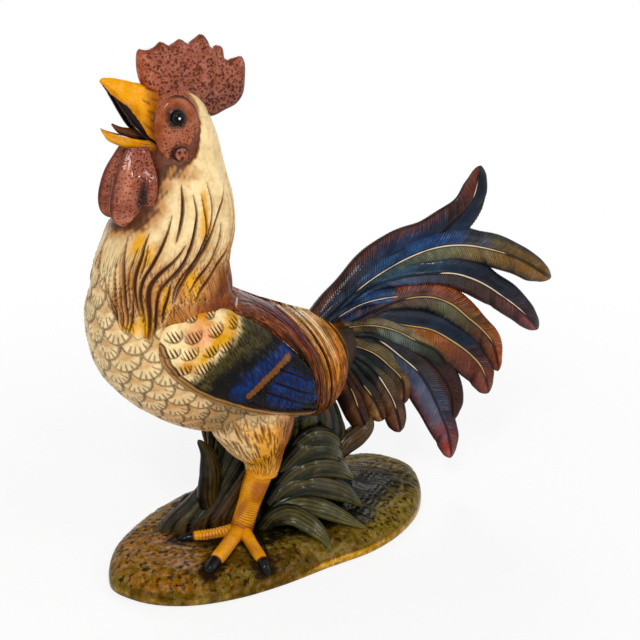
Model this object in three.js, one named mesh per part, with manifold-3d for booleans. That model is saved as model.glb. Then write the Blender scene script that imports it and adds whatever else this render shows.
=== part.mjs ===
// Glazed ceramic rooster, crowing, on a grassy mound. Millimetres, +Z up.
// The bird faces -X and its left side is towards -Y. The origin lies on the flat foot of the mound.
// The figure is built as it is cast: a hollow mound, a hollow support, a hollow body and a hollow neck, with the
// head, comb, beak, wattles, wings, hackles, legs, tail feathers and leaves cast by themselves and luted on.
import * as THREE from "three";
import { mergeVertices } from "three/addons/utils/BufferGeometryUtils.js";
import Module from "manifold-3d";

const wasm = await Module();
wasm.setup();

// Driving sizes
const JOINT_GAP = 0.3; // the slip line between two castings
const WALL = 6; // thickness of the hollow castings
const FACET_TOLERANCE = 0.04; // facets this flat are joined

const MOUND_LENGTH = 293;
const MOUND_WIDTH = 157;
const MOUND_HEIGHT = 21;
const MOUND_LIP = 5; // upright edge of the mound above the table
const MOUND_EDGE_RADIUS = 17; // how far in the rounded edge reaches
const MOUND_CROWN_REACH = 60; // how far in it still rises
const VENT_RADIUS = 5; // the hole that lets the kiln gases out
const VENT_Y = 24;

const BREAST_X = -184;
const BODY_LENGTH = 207;
const BODY_HEIGHT = 128;
const BODY_WIDTH = 118;
const BODY_AXIS_Z = 172;

const NECK_BOTTOM_Z = 206;
const NECK_BOTTOM_X = -130;
const NECK_WIDTH = 106; // at its foot
const NECK_SEAT = 9; // the ledge of the body that the neck stands on
const HEAD_X = -113;
const HEAD_Z = 339;
const HEAD_LENGTH = 50;
const HEAD_WIDTH = 39;
const HEAD_HEIGHT = 52;
const HACKLE_STRANDS = 12;
const HACKLE_RELIEF = 1.8;
const HACKLE_TIP = 5; // how far the tips of the cape stand below and above its edge

const COMB_LENGTH = 78.5;
const COMB_THICKNESS = 13;
const COMB_ROUNDING = 3;
const BEAK_LENGTH = 53.5; // from the middle of the head
const BEAK_WALL = 2.4;
const TONGUE_RADIUS = 4.2;
const EYE_RADIUS = 5.2;
const FACE_LENGTH = 33;
const FACE_HEIGHT = 46;
const FACE_THICKNESS = 6;
const EARLOBE_RADIUS = 6.8;
const WATTLE_LENGTH = 54;
const WATTLE_WIDTH = 33;
const WATTLE_THICKNESS = 12;
const WATTLE_SPREAD = 13; // from the middle plane to a wattle's middle

const WING_THICKNESS = 4.6; // of its lowest layer of feathers
const SADDLE_THICKNESS = 3.6; // between its strands
const FEATHER_STEP = 1.5; // from one layer of feathers up to the next
const STRAND_STEP = 1.2; // how far the saddle's strands stand out
const STRAND_WIDTH = 14;
const SADDLE_PARTING = 6; // from the middle plane to where the saddle begins

const HIP_X = BREAST_X + 0.54 * BODY_LENGTH;
const VENT_X = HIP_X + 10;
const HIP_DROP = 42; // from the body's axis down to the hip
const THIGH_RADIUS = 37; // where it leaves the body
const LEG_SPREAD = 27; // from the middle plane to a leg
const HOCK_X = HIP_X + 9;
const HOCK_Z = 72;
const ANKLE_X = HOCK_X - 18;
const STRIDE = 27; // how much farther back the right foot stands
const SHANK_RADIUS = 8.8;
const TOE_RADIUS = 5;
const TOE_LENGTH = 59; // the longest toe with its claw

const TAIL_LENGTH = 222; // from the tail's root to the tip of its longest feather
const TAIL_OVERLAP = 23; // how far the root lies inside the body's end
const GRASS_HEIGHT = 120; // to where the clump runs into the belly
const AIR_PASSAGE_RADIUS = 6; // from the body, through the support, into the mound
const AIR_PASSAGE_X = BREAST_X + (2 / 3) * BODY_LENGTH;

// Glazes
const glaze = (r, g, b) =>
  new THREE.MeshStandardMaterial({
    color: new THREE.Color(r, g, b),
    roughness: 0.15,
    metalness: 0,
  });
const CREAM = glaze(0.83, 0.66, 0.4);
const AMBER = glaze(0.83, 0.45, 0.03);
const RED = glaze(0.38, 0.12, 0.08);
const BLUE = glaze(0.03, 0.07, 0.25);
const RUST = glaze(0.4, 0.14, 0.06);
const SLATE = glaze(0.07, 0.09, 0.12);
const LEAF = glaze(0.1, 0.11, 0.05);
const MOSS = glaze(0.27, 0.22, 0.07);
const BLACK = glaze(0.01, 0.01, 0.01);

// Meshes and solids

// A closed geometry as a solid, turned right side out.
function solid(geometry) {
  const bare = new THREE.BufferGeometry().setAttribute("position", geometry.getAttribute("position"));
  if (geometry.index) bare.setIndex(geometry.index);
  const merged = mergeVertices(bare, 1e-4);
  const vertProperties = new Float32Array(merged.attributes.position.array);
  const triVerts = new Uint32Array(merged.index.array);
  const made = new wasm.Manifold(new wasm.Mesh({ numProp: 3, vertProperties, triVerts }));
  if (made.volume() > 0) return made;
  return new wasm.Manifold(new wasm.Mesh({ numProp: 3, vertProperties, triVerts: triVerts.reverse() }));
}

// Rings of points, one after another, skinned and capped at both ends.
function loft(rings) {
  const around = rings[0].length;
  const middle = (ring) => ring.reduce((sum, p) => sum.add(p), new THREE.Vector3()).divideScalar(around);
  const points = [...rings.flat(), middle(rings[0]), middle(rings.at(-1))];
  const first = rings.length * around;
  const faces = [];
  for (let k = 0; k < around; k++) {
    const next = (k + 1) % around;
    for (let i = 0; i + 1 < rings.length; i++) {
      const [a, b] = [i * around + k, i * around + next];
      faces.push(a, b, b + around, a, b + around, a + around);
    }
    const last = (rings.length - 1) * around;
    faces.push(first, next, k, first + 1, last + k, last + next);
  }
  const geometry = new THREE.BufferGeometry().setFromPoints(points);
  return solid(geometry.setIndex(faces));
}

// A smooth value at t from rows of [t, value, value, ...].
function along(rows, t) {
  const last = rows.length - 1;
  const i = Math.max(0, Math.min(last - 1, rows.findIndex((row) => row[0] > t) - 1));
  const at = t >= rows[last][0] ? last - 1 : i;
  const [before, a, b, after] = [-1, 0, 1, 2].map((step) => rows[Math.max(0, Math.min(last, at + step))]);
  const s = Math.max(0, Math.min(1, (t - a[0]) / (b[0] - a[0])));
  const slope = (low, high, k) => (high[0] === low[0] ? 0 : ((high[k] - low[k]) / (high[0] - low[0])) * (b[0] - a[0]));
  return a.slice(1).map((_, j) => {
    const k = j + 1;
    const [m0, m1] = [slope(before, b, k), slope(a, after, k)];
    const [s2, s3] = [s * s, s * s * s];
    return (2 * s3 - 3 * s2 + 1) * a[k] + (s3 - 2 * s2 + s) * m0 + (3 * s2 - 2 * s3) * b[k] + (s3 - s2) * m1;
  });
}

// An even run of numbers from 0 to 1.
const steps = (count) => Array.from({ length: count + 1 }, (_, i) => i / count);

// A closed ring of unit directions.
const circle = (count) => steps(count).slice(0, -1).map((t) => [Math.cos(t * 2 * Math.PI), Math.sin(t * 2 * Math.PI)]);

// A smooth closed outline through [x, z] or [x, y] points.
const outline = (points, count) =>
  new THREE.CatmullRomCurve3(points.map(([a, b]) => new THREE.Vector3(a, b, 0)), true, "centripetal").getPoints(count).slice(0, -1);

// A flat outline in X and Z pulled out along Y, from y = low to y = high.
function slab(points, low, high) {
  const shape = new THREE.Shape(points.map((p) => new THREE.Vector2(p.x, p.y)));
  const geometry = new THREE.ExtrudeGeometry(shape, { depth: high - low, bevelEnabled: false });
  geometry.rotateX(Math.PI / 2);
  geometry.translate(0, high, 0);
  return solid(geometry);
}

// A tube whose middle follows points, with one radius in each row of [t, radius].
function limb(points, radii, count, around, grow = 0) {
  const curve = new THREE.CatmullRomCurve3(points, false, "centripetal");
  const frames = curve.computeFrenetFrames(count, false);
  const rings = steps(count).map((t, i) => {
    const middle = curve.getPointAt(t);
    const radius = along(radii, t)[0] + grow;
    return circle(around).map(([c, s]) =>
      middle.clone().addScaledVector(frames.normals[i], c * radius).addScaledVector(frames.binormals[i], s * radius),
    );
  });
  return loft(rings);
}

// An egg with its own radius along each axis.
function egg(middle, radii, grow = 0, across = 16, down = 10) {
  const geometry = new THREE.SphereGeometry(1, across, down);
  geometry.scale(radii[0] + grow, radii[1] + grow, radii[2] + grow);
  geometry.translate(...middle);
  return solid(geometry);
}

const mirrored = (piece) => piece.mirror([0, 1, 0]);
const largest = (piece) => piece.decompose().reduce((best, part) => (part.volume() > best.volume() ? part : best));

// Mound

// The edge as [x, y] from the middle, for a mound 293 long and 157 wide.
const MOUND_OUTLINE = [
  [-143, -22], [-134, -43], [-119, -59], [-96, -71], [-64, -77], [-28, -76], [14, -69.5], [56, -64], [89, -51], [120, -28],
  [142, 3], [150, 33], [142, 56], [118, 71], [80, 78], [14, 80], [-42, 76], [-78, 62], [-110, 39], [-133, 10],
];
const MOUND_MIDDLE = new THREE.Vector3(HIP_X + 28, -2, 0);
const moundEdge = (count) => {
  const points = MOUND_OUTLINE.map(([x, y]) => [(x * MOUND_LENGTH) / 293, (y * MOUND_WIDTH) / 157]);
  return outline(points, count).map((p) => p.add(MOUND_MIDDLE));
};

// How high the top of the mound is, this far in from its edge.
function moundHeight(inset) {
  const shoulder = 0.72 * (MOUND_HEIGHT - MOUND_LIP);
  const crown = MOUND_HEIGHT - MOUND_LIP - shoulder;
  const round = Math.min(1, inset / MOUND_EDGE_RADIUS);
  const rise = Math.min(1, inset / MOUND_CROWN_REACH);
  return MOUND_LIP + shoulder * Math.sqrt(1 - (1 - round) ** 2) + crown * Math.sin((rise * Math.PI) / 2);
}

// The mound, made smaller all over by inset.
function moundShape(inset, around = 34) {
  const ring = (inward, z) =>
    moundEdge(around).map((p) => {
      const reach = p.clone().sub(MOUND_MIDDLE);
      const length = reach.length();
      return MOUND_MIDDLE.clone().addScaledVector(reach, (length - inward) / length).setZ(z);
    });
  const foot = Math.max(0, inset);
  const tops = [0, 2, 6, 12, 22, 42].map((inward) => ring(inward + inset, Math.max(foot + 1, moundHeight(inward) - inset)));
  return loft([ring(inset, foot), ...tops]);
}

// The height of the mound's top under a point.
const fineEdge = moundEdge(180).map((p) => p.sub(MOUND_MIDDLE));
function groundAt(x, y) {
  const reach = new THREE.Vector3(x, y, 0).sub(MOUND_MIDDLE);
  const outwards = reach.clone().normalize();
  const edge = fineEdge.reduce((best, p) => (p.clone().normalize().dot(outwards) > best.clone().normalize().dot(outwards) ? p : best));
  return moundHeight(Math.max(0, edge.length() - reach.length()));
}

// Body

// Rows of [share of the length from the breast, middle above the axis, half height, half width], for a body 128 high
// and 118 wide.
const BODY_ROWS = [
  [0, 26, 6, 6],
  [0.03, 25, 30, 28],
  [0.1, 21, 47, 42],
  [0.2, 14, 58.5, 52],
  [0.32, 5, 64, 57],
  [0.46, -7.5, 60, 59],
  [0.58, -16, 53, 56],
  [0.7, -22, 46, 51],
  [0.82, -26, 40, 43],
  [0.92, -23.5, 30.5, 32],
  [1, -16, 19, 19],
];
const inHeight = (value) => (value * BODY_HEIGHT) / 128;
const inWidth = (value) => (value * BODY_WIDTH) / 118;

function bodyShape(grow, rings = 13, around = 22) {
  return loft(
    steps(rings).map((s) => {
      const t = s ** 1.25;
      const [rise, high, wide] = along(BODY_ROWS, t);
      const [up, out] = [Math.max(1, inHeight(high) + grow), Math.max(1, inWidth(wide) + grow)];
      const x = BREAST_X + t * BODY_LENGTH + grow * (2 * t - 1);
      return circle(around).map(([c, d]) => new THREE.Vector3(x, c * out, BODY_AXIS_Z + inHeight(rise) + d * up));
    }),
  );
}

// Neck with its cape of hackle feathers

// Rows of [share of the way up, lean of the middle towards the breast, half length, half width], for a foot 106 wide.
const NECK_ROWS = [
  [0, -1, 50, 53],
  [0.15, 1, 50, 51],
  [0.28, 2, 47, 47],
  [0.41, -2, 45.5, 43],
  [0.54, -5, 41, 38],
  [0.66, -7, 34.5, 31.5],
  [0.78, -8, 28, 25],
  [0.9, -7, 23.5, 21],
  [1, -5, 19, 17],
];
const inNeck = (value) => (value * NECK_WIDTH) / 106;
const NECK_TOP_Z = HEAD_Z + 6;

function neckShape(grow, relief, rings = 9, around = 3 * HACKLE_STRANDS) {
  return loft(
    steps(rings).map((t) => {
      const [lean, long, wide] = along(NECK_ROWS, t).map(inNeck);
      const x = NECK_BOTTOM_X + t * (HEAD_X - NECK_BOTTOM_X) - lean;
      return circle(around).map(([c, s], k) => {
        const angle = (k / around) * 2 * Math.PI;
        const sweep = 0.5 * Math.sin(angle) * (1 - t);
        const strand = relief * (1 - t) ** 0.6 * Math.cos(HACKLE_STRANDS * (angle + sweep));
        const tip = t === 0 && relief ? HACKLE_TIP * Math.cos(HACKLE_STRANDS * angle) : 0;
        const z = NECK_BOTTOM_Z + t * (NECK_TOP_Z - NECK_BOTTOM_Z) - tip;
        return new THREE.Vector3(x + c * (long + grow + strand), s * (wide + grow + strand), z + grow * (2 * t - 1));
      });
    }),
  );
}

// Head

const headMiddle = [HEAD_X, 0, HEAD_Z];
const headShape = (grow) => egg(headMiddle, [HEAD_LENGTH / 2, HEAD_WIDTH / 2, HEAD_HEIGHT / 2], grow, 14, 8);

// The comb's lobes and notches, from its front, as [x, z] from the middle of the head, for a comb 78.5 long.
const COMB_OUTLINE = [
  [-23, 29], [-26, 43], [-24, 53], [-18, 53], [-13, 54], [-8, 57.5], [-3, 55], [1, 56], [6, 58.5], [11, 55.5],
  [16, 58], [21.5, 61], [25.5, 57], [28.5, 51.5], [33, 53], [36.5, 51], [38.5, 43], [44, 43.5], [50.5, 44.5],
  [52.5, 40], [51.5, 27], [46, 12], [27, 4], [12, 12], [-2, 18], [-15, 22],
];

const inComb = (value) => (value * COMB_LENGTH) / 78.5;

function combShape(grow) {
  const edge = outline(COMB_OUTLINE, 46).map((p) => new THREE.Vector2(inComb(p.x), inComb(p.y)));
  const geometry = new THREE.ExtrudeGeometry(new THREE.Shape(edge), {
    depth: COMB_THICKNESS - 2 * COMB_ROUNDING,
    bevelThickness: COMB_ROUNDING + grow,
    bevelSize: COMB_ROUNDING * 0.6 + grow,
    bevelOffset: -COMB_ROUNDING * 0.6,
    bevelSegments: 1,
  });
  geometry.translate(0, 0, COMB_ROUNDING - COMB_THICKNESS / 2);
  geometry.rotateX(Math.PI / 2);
  geometry.translate(HEAD_X, 0, HEAD_Z);
  return solid(geometry);
}

// A half of the beak: rows of [x and z of its upper line, x and z of its lower line, half width], from the head, for a
// beak 53.5 long.
const UPPER_BEAK = [
  [-13, 27, -15, -12, 12], [-20, 29, -24, -6, 11], [-26, 31, -30, 2.5, 9.2], [-36, 34, -38, 13, 7],
  [-44, 35.8, -44.5, 22.5, 5], [-49.5, 36, -49, 29.5, 3.2], [-52, 34.6, -51.8, 33, 1.2],
];
const LOWER_BEAK = [
  [-15, -7, -15, -20, 11], [-22, -7, -24, -17, 10], [-30, -6, -33, -14, 8.5], [-40, -3.4, -42, -10.5, 6.4],
  [-48, -0.4, -49, -6.4, 4], [-53.5, 2.4, -53, 0, 1.2],
];
const MOUTH_DEPTH = 0.24; // share of a half's height that its scoop takes
const inBeak = (value) => (value * BEAK_LENGTH) / 53.5;
const fromHead = (x, z) => new THREE.Vector3(HEAD_X + inBeak(x), 0, HEAD_Z + inBeak(z));

function beakShape(rows, grow, around = 10) {
  return loft(
    rows.map(([upX, upZ, downX, downZ, wide]) => {
      const [up, down] = [fromHead(upX, upZ), fromHead(downX, downZ)];
      const middle = up.clone().add(down).divideScalar(2);
      const half = up.clone().sub(down).divideScalar(2);
      half.setLength(Math.max(0.4, half.length() + grow));
      const reach = Math.max(0.4, inBeak(wide) + grow);
      return circle(around).map(([c, s]) => middle.clone().addScaledVector(half, s).add(new THREE.Vector3(0, c * reach, 0)));
    }),
  );
}

// The mouth: a shallow scoop along the line of a half that faces the other, at the first or the second of its lines.
function mouthHollow(rows, upper) {
  const scooped = rows.map(([upX, upZ, downX, downZ, wide]) => {
    const [x, z] = upper ? [upX, upZ] : [downX, downZ];
    const [deepX, deepZ] = [(upX - downX) * MOUTH_DEPTH, (upZ - downZ) * MOUTH_DEPTH];
    return [x + deepX, z + deepZ, x - deepX, z - deepZ, Math.max(0.5, wide - BEAK_WALL)];
  });
  return beakShape(scooped, 0);
}

// Head, comb and neck are closed where they meet, so the tongue is a tapered limb lying in the lower beak.
const tongueShape = (grow) =>
  limb(
    [[-16, -8], [-26, -5], [-36, -1.5], [-46.5, 4]].map(([x, z]) => fromHead(x, z)),
    [[0, TONGUE_RADIUS], [0.5, 0.8 * TONGUE_RADIUS], [0.85, 0.52 * TONGUE_RADIUS], [1, 0.2 * TONGUE_RADIUS]],
    6,
    7,
    grow,
  );

const FACE_Y = -HEAD_WIDTH / 2;
const faceShape = (grow) => egg([HEAD_X - 5, FACE_Y + 2.5, HEAD_Z + 0.5], [FACE_LENGTH / 2, FACE_THICKNESS, FACE_HEIGHT / 2], grow, 12, 6);
const eyeShape = (grow) => egg([HEAD_X - 6, FACE_Y - 2.6, HEAD_Z + 9], [EYE_RADIUS, 0.54 * EYE_RADIUS, EYE_RADIUS], grow, 9, 5);
const earlobeShape = (grow) => egg([HEAD_X - 4, FACE_Y - 0.8, HEAD_Z - 17], [EARLOBE_RADIUS, 0.62 * EARLOBE_RADIUS, EARLOBE_RADIUS], grow, 9, 5);

// A wattle: a flat drop that hangs from under the beak. Rows are [share of the way down, half width share, thickness share].
const WATTLE_ROWS = [
  [0, 0.4, 0.55], [0.1, 0.6, 0.64], [0.3, 0.93, 0.82], [0.55, 1, 0.98], [0.76, 0.78, 0.93], [0.92, 0.45, 0.65], [1, 0.1, 0.15],
];
const WATTLE_TOP = [HEAD_X - 29, HEAD_Z - 11];
const WATTLE_LEAN = 9;

function wattleShape(grow) {
  return loft(
    steps(8).map((t) => {
      const [wide, thick] = along(WATTLE_ROWS, t);
      const x = WATTLE_TOP[0] - WATTLE_LEAN * Math.sin((t * Math.PI) / 2);
      const z = WATTLE_TOP[1] - t * WATTLE_LENGTH - grow * (2 * t - 1);
      const y = -WATTLE_SPREAD * (0.55 + 0.45 * Math.sin((Math.min(1, t * 1.6) * Math.PI) / 2));
      return circle(10).map(
        ([c, s]) =>
          new THREE.Vector3(x + c * (wide * WATTLE_WIDTH * 0.5 + grow), y + s * (thick * WATTLE_THICKNESS * 0.5 + grow), z),
      );
    }),
  );
}

// Wings and saddle: layers of feathers that lie on the body. Their outlines are [x from the breast, z from the axis],
// for a body 207 long and 128 high.

const onFlank = ([x, z]) => [BREAST_X + (x * BODY_LENGTH) / 207, BODY_AXIS_Z + inHeight(z)];

// What lies between the body and a skin outside it, inside an outline seen from the side.
function bodyPatch(points, thickness, grow, count = 26) {
  const edge = outline(points.map(onFlank), count);
  const middle = edge.reduce((sum, p) => sum.add(p), new THREE.Vector3()).divideScalar(edge.length);
  const grown = edge.map((p) => p.clone().addScaledVector(p.clone().sub(middle).normalize(), grow));
  return slab(grown, -BODY_WIDTH, -SADDLE_PARTING).intersect(bodyShape(thickness + grow));
}

// The wing's long feathers, then its coverts, then its bow: each layer stands on the one before it.
const WING_OUTLINE = [
  [37, 33], [34, 18], [41, 2], [62, -17], [92, -32], [124, -45], [160, -54], [157, -37], [152, -14],
  [134, 8], [112, 27], [86, 42], [56, 47],
];
const WING_COVERTS = [
  [41, 31], [38, 18], [45, 4], [64, -13], [90, -26], [106, -20], [119, -8], [128, 6], [111, 22], [86, 38], [57, 43],
];
const WING_BOW = [[44, 31], [41, 19], [47, 7], [61, -4], [76, 0], [89, 12], [97, 26], [84, 35], [60, 40]];

const wingShape = (grow) =>
  bodyPatch(WING_OUTLINE, WING_THICKNESS, grow)
    .add(bodyPatch(WING_COVERTS, WING_THICKNESS + FEATHER_STEP, grow, 20))
    .add(bodyPatch(WING_BOW, WING_THICKNESS + 2 * FEATHER_STEP, grow, 16));

// The saddle, with the middle lines of the broad strands that stand out of it.
const SADDLE_OUTLINE = [
  [92, 36], [110, 30], [132, 11], [150, -12], [155, -36], [158, -58], [176, -70], [186, -50], [192, -26], [192, -4],
  [182, 10], [164, 18], [134, 31], [106, 42],
];
const SADDLE_STRANDS = [
  [[106, 34], [124, 25], [142, 7], [157, -13], [164, -36], [167, -56]],
  [[134, 25], [156, 12], [173, -4], [182, -26], [182, -48]],
];

// A strip along a line of [x, z] points, with round ends.
function strip(line, width) {
  const sides = line.map(([x, z], i) => {
    const [before, after] = [line[Math.max(0, i - 1)], line[Math.min(line.length - 1, i + 1)]];
    const [dx, dz] = [after[0] - before[0], after[1] - before[1]];
    const half = width / 2 / Math.hypot(dx, dz);
    return [[x - dz * half, z + dx * half], [x + dz * half, z - dx * half]];
  });
  return [...sides.map(([left]) => left), ...sides.map(([, right]) => right).reverse()];
}

const saddleShape = (grow) =>
  SADDLE_STRANDS.map((line) => bodyPatch(strip(line, STRAND_WIDTH), SADDLE_THICKNESS + STRAND_STEP, grow, 18)).reduce(
    (sum, next) => sum.add(next),
    bodyPatch(SADDLE_OUTLINE, SADDLE_THICKNESS, grow),
  );

// Legs. Each shape takes how far back its foot is set, besides how much to grow.

const leg = (x, y, z, back, share) => new THREE.Vector3(x + back * share, -y, z);

const HIP_Z = BODY_AXIS_Z - inHeight(HIP_DROP);
const thighShape = (grow, back) =>
  limb(
    [
      leg(HIP_X, LEG_SPREAD - 5, HIP_Z, back, 0), leg(HIP_X + 5, LEG_SPREAD, (HIP_Z + HOCK_Z) / 2 + 3, back, 0.12),
      leg(HOCK_X, LEG_SPREAD, HOCK_Z + 12, back, 0.3), leg(HOCK_X - 1, LEG_SPREAD, HOCK_Z - 2, back, 0.4),
    ],
    [[0, 1], [0.3, 0.84], [0.5, 0.68], [0.7, 0.47], [0.86, 0.37], [1, 0.32]].map(([t, share]) => [t, share * THIGH_RADIUS]),
    6,
    13,
    grow,
  );

// The shank leaves the thigh forwards and then turns down to the ankle.
const ankleZ = groundAt(ANKLE_X, -LEG_SPREAD) + TOE_RADIUS;
const shankPlace = (forwards, down, back, share) =>
  leg(HOCK_X + forwards * (ANKLE_X - HOCK_X), LEG_SPREAD - 2 * down, HOCK_Z + down * (ankleZ - HOCK_Z), back, share);
const shankShape = (grow, back) =>
  limb(
    [shankPlace(0, -0.1, back, 0.38), shankPlace(0.33, 0.2, back, 0.5), shankPlace(0.61, 0.52, back, 0.72), shankPlace(1, 1, back, 1)],
    [[0, SHANK_RADIUS + 1], [0.25, SHANK_RADIUS + 1], [0.6, SHANK_RADIUS - 0.3], [1, SHANK_RADIUS]],
    6,
    10,
    grow,
  );

// Toes with their claws, as [heading in degrees from straight ahead, outwards positive; share of the length; share of
// the radius].
const TOES_LEFT = [[-15, 0.83, 0.88], [41, 1, 1.12], [88, 0.88, 0.92]];
const TOES_RIGHT = [[-16, 0.78, 0.88], [22, 0.92, 1.12], [62, 0.68, 0.92]];

function footShape(grow, back, toes) {
  const ankle = new THREE.Vector3(ANKLE_X + back, -LEG_SPREAD + 2, 0);
  const toe = ([heading, longShare, thickShare]) => {
    const turn = THREE.MathUtils.degToRad(heading);
    const [length, radius] = [longShare * TOE_LENGTH, thickShare * TOE_RADIUS];
    const knuckles = [0, 0.3, 0.58, 0.8, 1].map((s) => {
      const x = ankle.x - Math.cos(turn) * s * length;
      const y = ankle.y - Math.sin(turn) * s * length;
      return new THREE.Vector3(x, y, groundAt(x, y) + radius * (0.75 - 0.6 * s));
    });
    return limb(knuckles, [[0, radius + 1.2], [0.3, radius], [0.74, radius - 0.4], [0.8, radius - 0.9], [1, 1.4]], 6, 7, grow);
  };
  return toes.map(toe).reduce((sum, next) => sum.add(next));
}

// Feathers and leaves: blades

// A blade whose midrib follows points: half widths to either side of the rib, and half thickness, along rows of t.
// The width lies square to both the rib and facing, and the thickness along facing. A keeled blade has its ridge along
// the rib, and the others are flat there.
function blade(points, rows, facing, count, keeled, grow = 0) {
  const curve = new THREE.CatmullRomCurve3(points, false, "centripetal");
  const rings = steps(count).map((s) => {
    const t = 1 - (1 - s) ** 1.15;
    const middle = curve.getPointAt(t);
    const ahead = curve.getTangentAt(t);
    const across = new THREE.Vector3().crossVectors(facing, ahead).normalize();
    const out = new THREE.Vector3().crossVectors(ahead, across);
    const [left, right, thick] = along(rows, t).map((value) => Math.max(0.5, value + grow));
    middle.addScaledVector(ahead, grow * (2 * t - 1));
    const upper = keeled ? [[0.62 * left, 0.72], [0, 1], [-0.62 * right, 0.72]] : [[0.55 * left, 0.85], [-0.55 * right, 0.85]];
    const section = [[left, 0], ...upper, [-right, 0], ...upper.map(([a, b]) => [a, -b]).reverse()];
    return section.map(([a, b]) => middle.clone().addScaledVector(across, a).addScaledVector(out, b * thick));
  });
  return loft(rings);
}

// Tail feathers, front one first, as [name, half widths above and below the rib, half thickness, rib as [x, z] points
// from the tail's root], for a tail 222 long.
const TAIL = [
  ["tail_covert_blue", 8, 9, 15, [[-6, 0], [6, 8], [29, 16], [56, 17], [93, 11]]],
  ["tail_covert_olive", 9, 14, 14.5, [[-4, -6], [12, -1], [39, -3], [61, -11], [82, -24], [104, -38], [120, -58]]],
  ["tail_covert_brown", 14, 13, 14, [[-2, -14], [16, -15], [40, -26], [58, -42], [72, -59], [76, -84]]],
  ["tail_covert_tan", 12, 11, 13.6, [[6, -22], [21, -36], [34, -54], [44, -68], [58, -94]]],
  ["tail_covert_rust", 12, 12, 13.2, [[0, -24], [14, -40], [24, -58], [31, -75], [42, -98]]],
  ["tail_covert_slate", 13, 11, 12.8, [[10, -20], [23, -26], [42, -42], [55, -60], [64, -76], [75, -108]]],
  ["tail_sickle_main", 13.5, 17, 12.4, [[-4, 6], [15, 20], [40, 35], [67, 46], [94, 52], [122, 51], [152, 43], [183, 30], [222, 6]]],
  ["tail_sickle_low", 16, 14, 11.6, [[8, 12], [41, 28], [69, 32], [93, 31], [116, 28], [142, 17], [166, 1], [188, -16], [212, -39]]],
  ["tail_feather_orange", 13, 14, 11, [[8, -2], [42, 7], [69, 13], [95, 11], [115, 2], [133, -13], [150, -28], [163, -44], [173, -71]]],
  ["tail_feather_drooping", 16, 16, 10.6, [[10, -10], [42, -15], [70, -37], [88, -55], [100, -74], [110, -94], [119, -113], [128, -144]]],
  ["tail_feather_brown", 16, 20, 10.2, [[8, -4], [42, 0], [74, -10], [98, -18], [118, -31], [139, -48], [152, -63], [164, -90]]],
  ["tail_sickle_upper", 15, 20, 9.6, [[-8, 2], [16, 23], [40, 41], [66, 53], [94, 58], [116, 69], [134, 84], [144, 112]]],
  ["tail_feather_inner", 16, 18, 8, [[30, -16], [71, -27], [93, -42], [110.5, -61], [121.5, -80], [127.5, -110]]],
];
const TAIL_ROOT_X = BREAST_X + BODY_LENGTH - TAIL_OVERLAP;
const inTail = (value) => (value * TAIL_LENGTH) / 222;

const tailFeather = ([, ...sizes], grow) => {
  const [above, below, thick] = sizes.slice(0, 3).map(inTail);
  const rib = sizes[3].map(([x, z]) => new THREE.Vector3(TAIL_ROOT_X + inTail(x), 0, BODY_AXIS_Z + inTail(z)));
  return blade(
    rib,
    [
      [0, 0.5 * above, 0.5 * below, 0.95 * thick], [0.15, 0.72 * above, 0.72 * below, thick], [0.5, above, below, 0.86 * thick],
      [0.75, 0.92 * above, 0.92 * below, 0.64 * thick], [0.9, 0.72 * above, 0.7 * below, 0.46 * thick],
      [1, 0.16 * above, 0.16 * below, 2],
    ],
    new THREE.Vector3(0, -1, 0),
    rib.length > 6 ? 9 : 6,
    true,
    grow,
  );
};

// The clump of grass and its leaves are drawn from the air passage, for a clump 120 high whose passage lies 46 from the
// tail's root.
const inGrass = (value) => (value * GRASS_HEIGHT) / 120;
const grassPlace = (x, y, z) =>
  new THREE.Vector3(AIR_PASSAGE_X + (x * (TAIL_ROOT_X - AIR_PASSAGE_X)) / 46, inGrass(y), inGrass(z));

// Leaves of grass, as [name, half width, half thickness, midrib as [x, y, z] points]
const LEAVES_NEAR = [
  ["leaf_curled", 10, 6, [[-46, 2, 22], [-53, -4, 44], [-53, -8, 70], [-56, -10, 88], [-63, -11, 101]]],
  ["leaf_trailing", 9, 8, [[56, -2, 54], [68, -2, 65], [79, -2, 71], [88, 0, 77], [90, 2, 92]]],
  ["leaf_low_left", 8.5, 4, [[-18, -24, 20], [-10, -31, 31], [0, -40, 36], [11, -50, 30], [18, -58, 22], [18, -73, 17]]],
  ["leaf_second_left", 8.5, 4, [[-14, -22, 22], [-2, -27, 36], [11, -32, 39], [27, -38, 34], [44, -43, 24], [58, -56, 17]]],
  ["leaf_third_left", 11, 4.6, [[-8, -20, 36], [3, -23, 48], [19, -27, 53], [36, -28, 47], [55, -27, 35], [71, -26, 19]]],
  ["leaf_fourth_left", 9.5, 4.6, [[-2, -18, 47], [7, -21, 57], [21, -24, 64], [36, -24, 63], [53, -21, 54], [70, -14, 38]]],
  ["leaf_fifth_left", 10, 4.6, [[4, -16, 61], [13, -19, 71], [24, -22, 79], [37, -21, 78], [51, -17, 68], [62, -10, 53]]],
  ["leaf_top_left", 8.5, 4.6, [[13, -14, 73], [19, -17, 82], [28, -20, 88], [38, -19, 86], [51, -15, 77], [60, -9, 62]]],
];
const LEAVES_FAR = [
  ["leaf_low_right", 8.5, 4, [[0, 30, 22], [12, 42, 36], [26, 50, 38], [42, 58, 28], [54, 66, 17]]],
  ["leaf_second_right", 9.5, 4.6, [[2, 26, 24], [12, 34, 48], [28, 36, 58], [50, 34, 52], [70, 34, 26]]],
  ["leaf_top_right", 9.5, 4.6, [[4, 18, 40], [12, 21, 70], [26, 23, 84], [42, 22, 78], [60, 16, 56]]],
];

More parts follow.
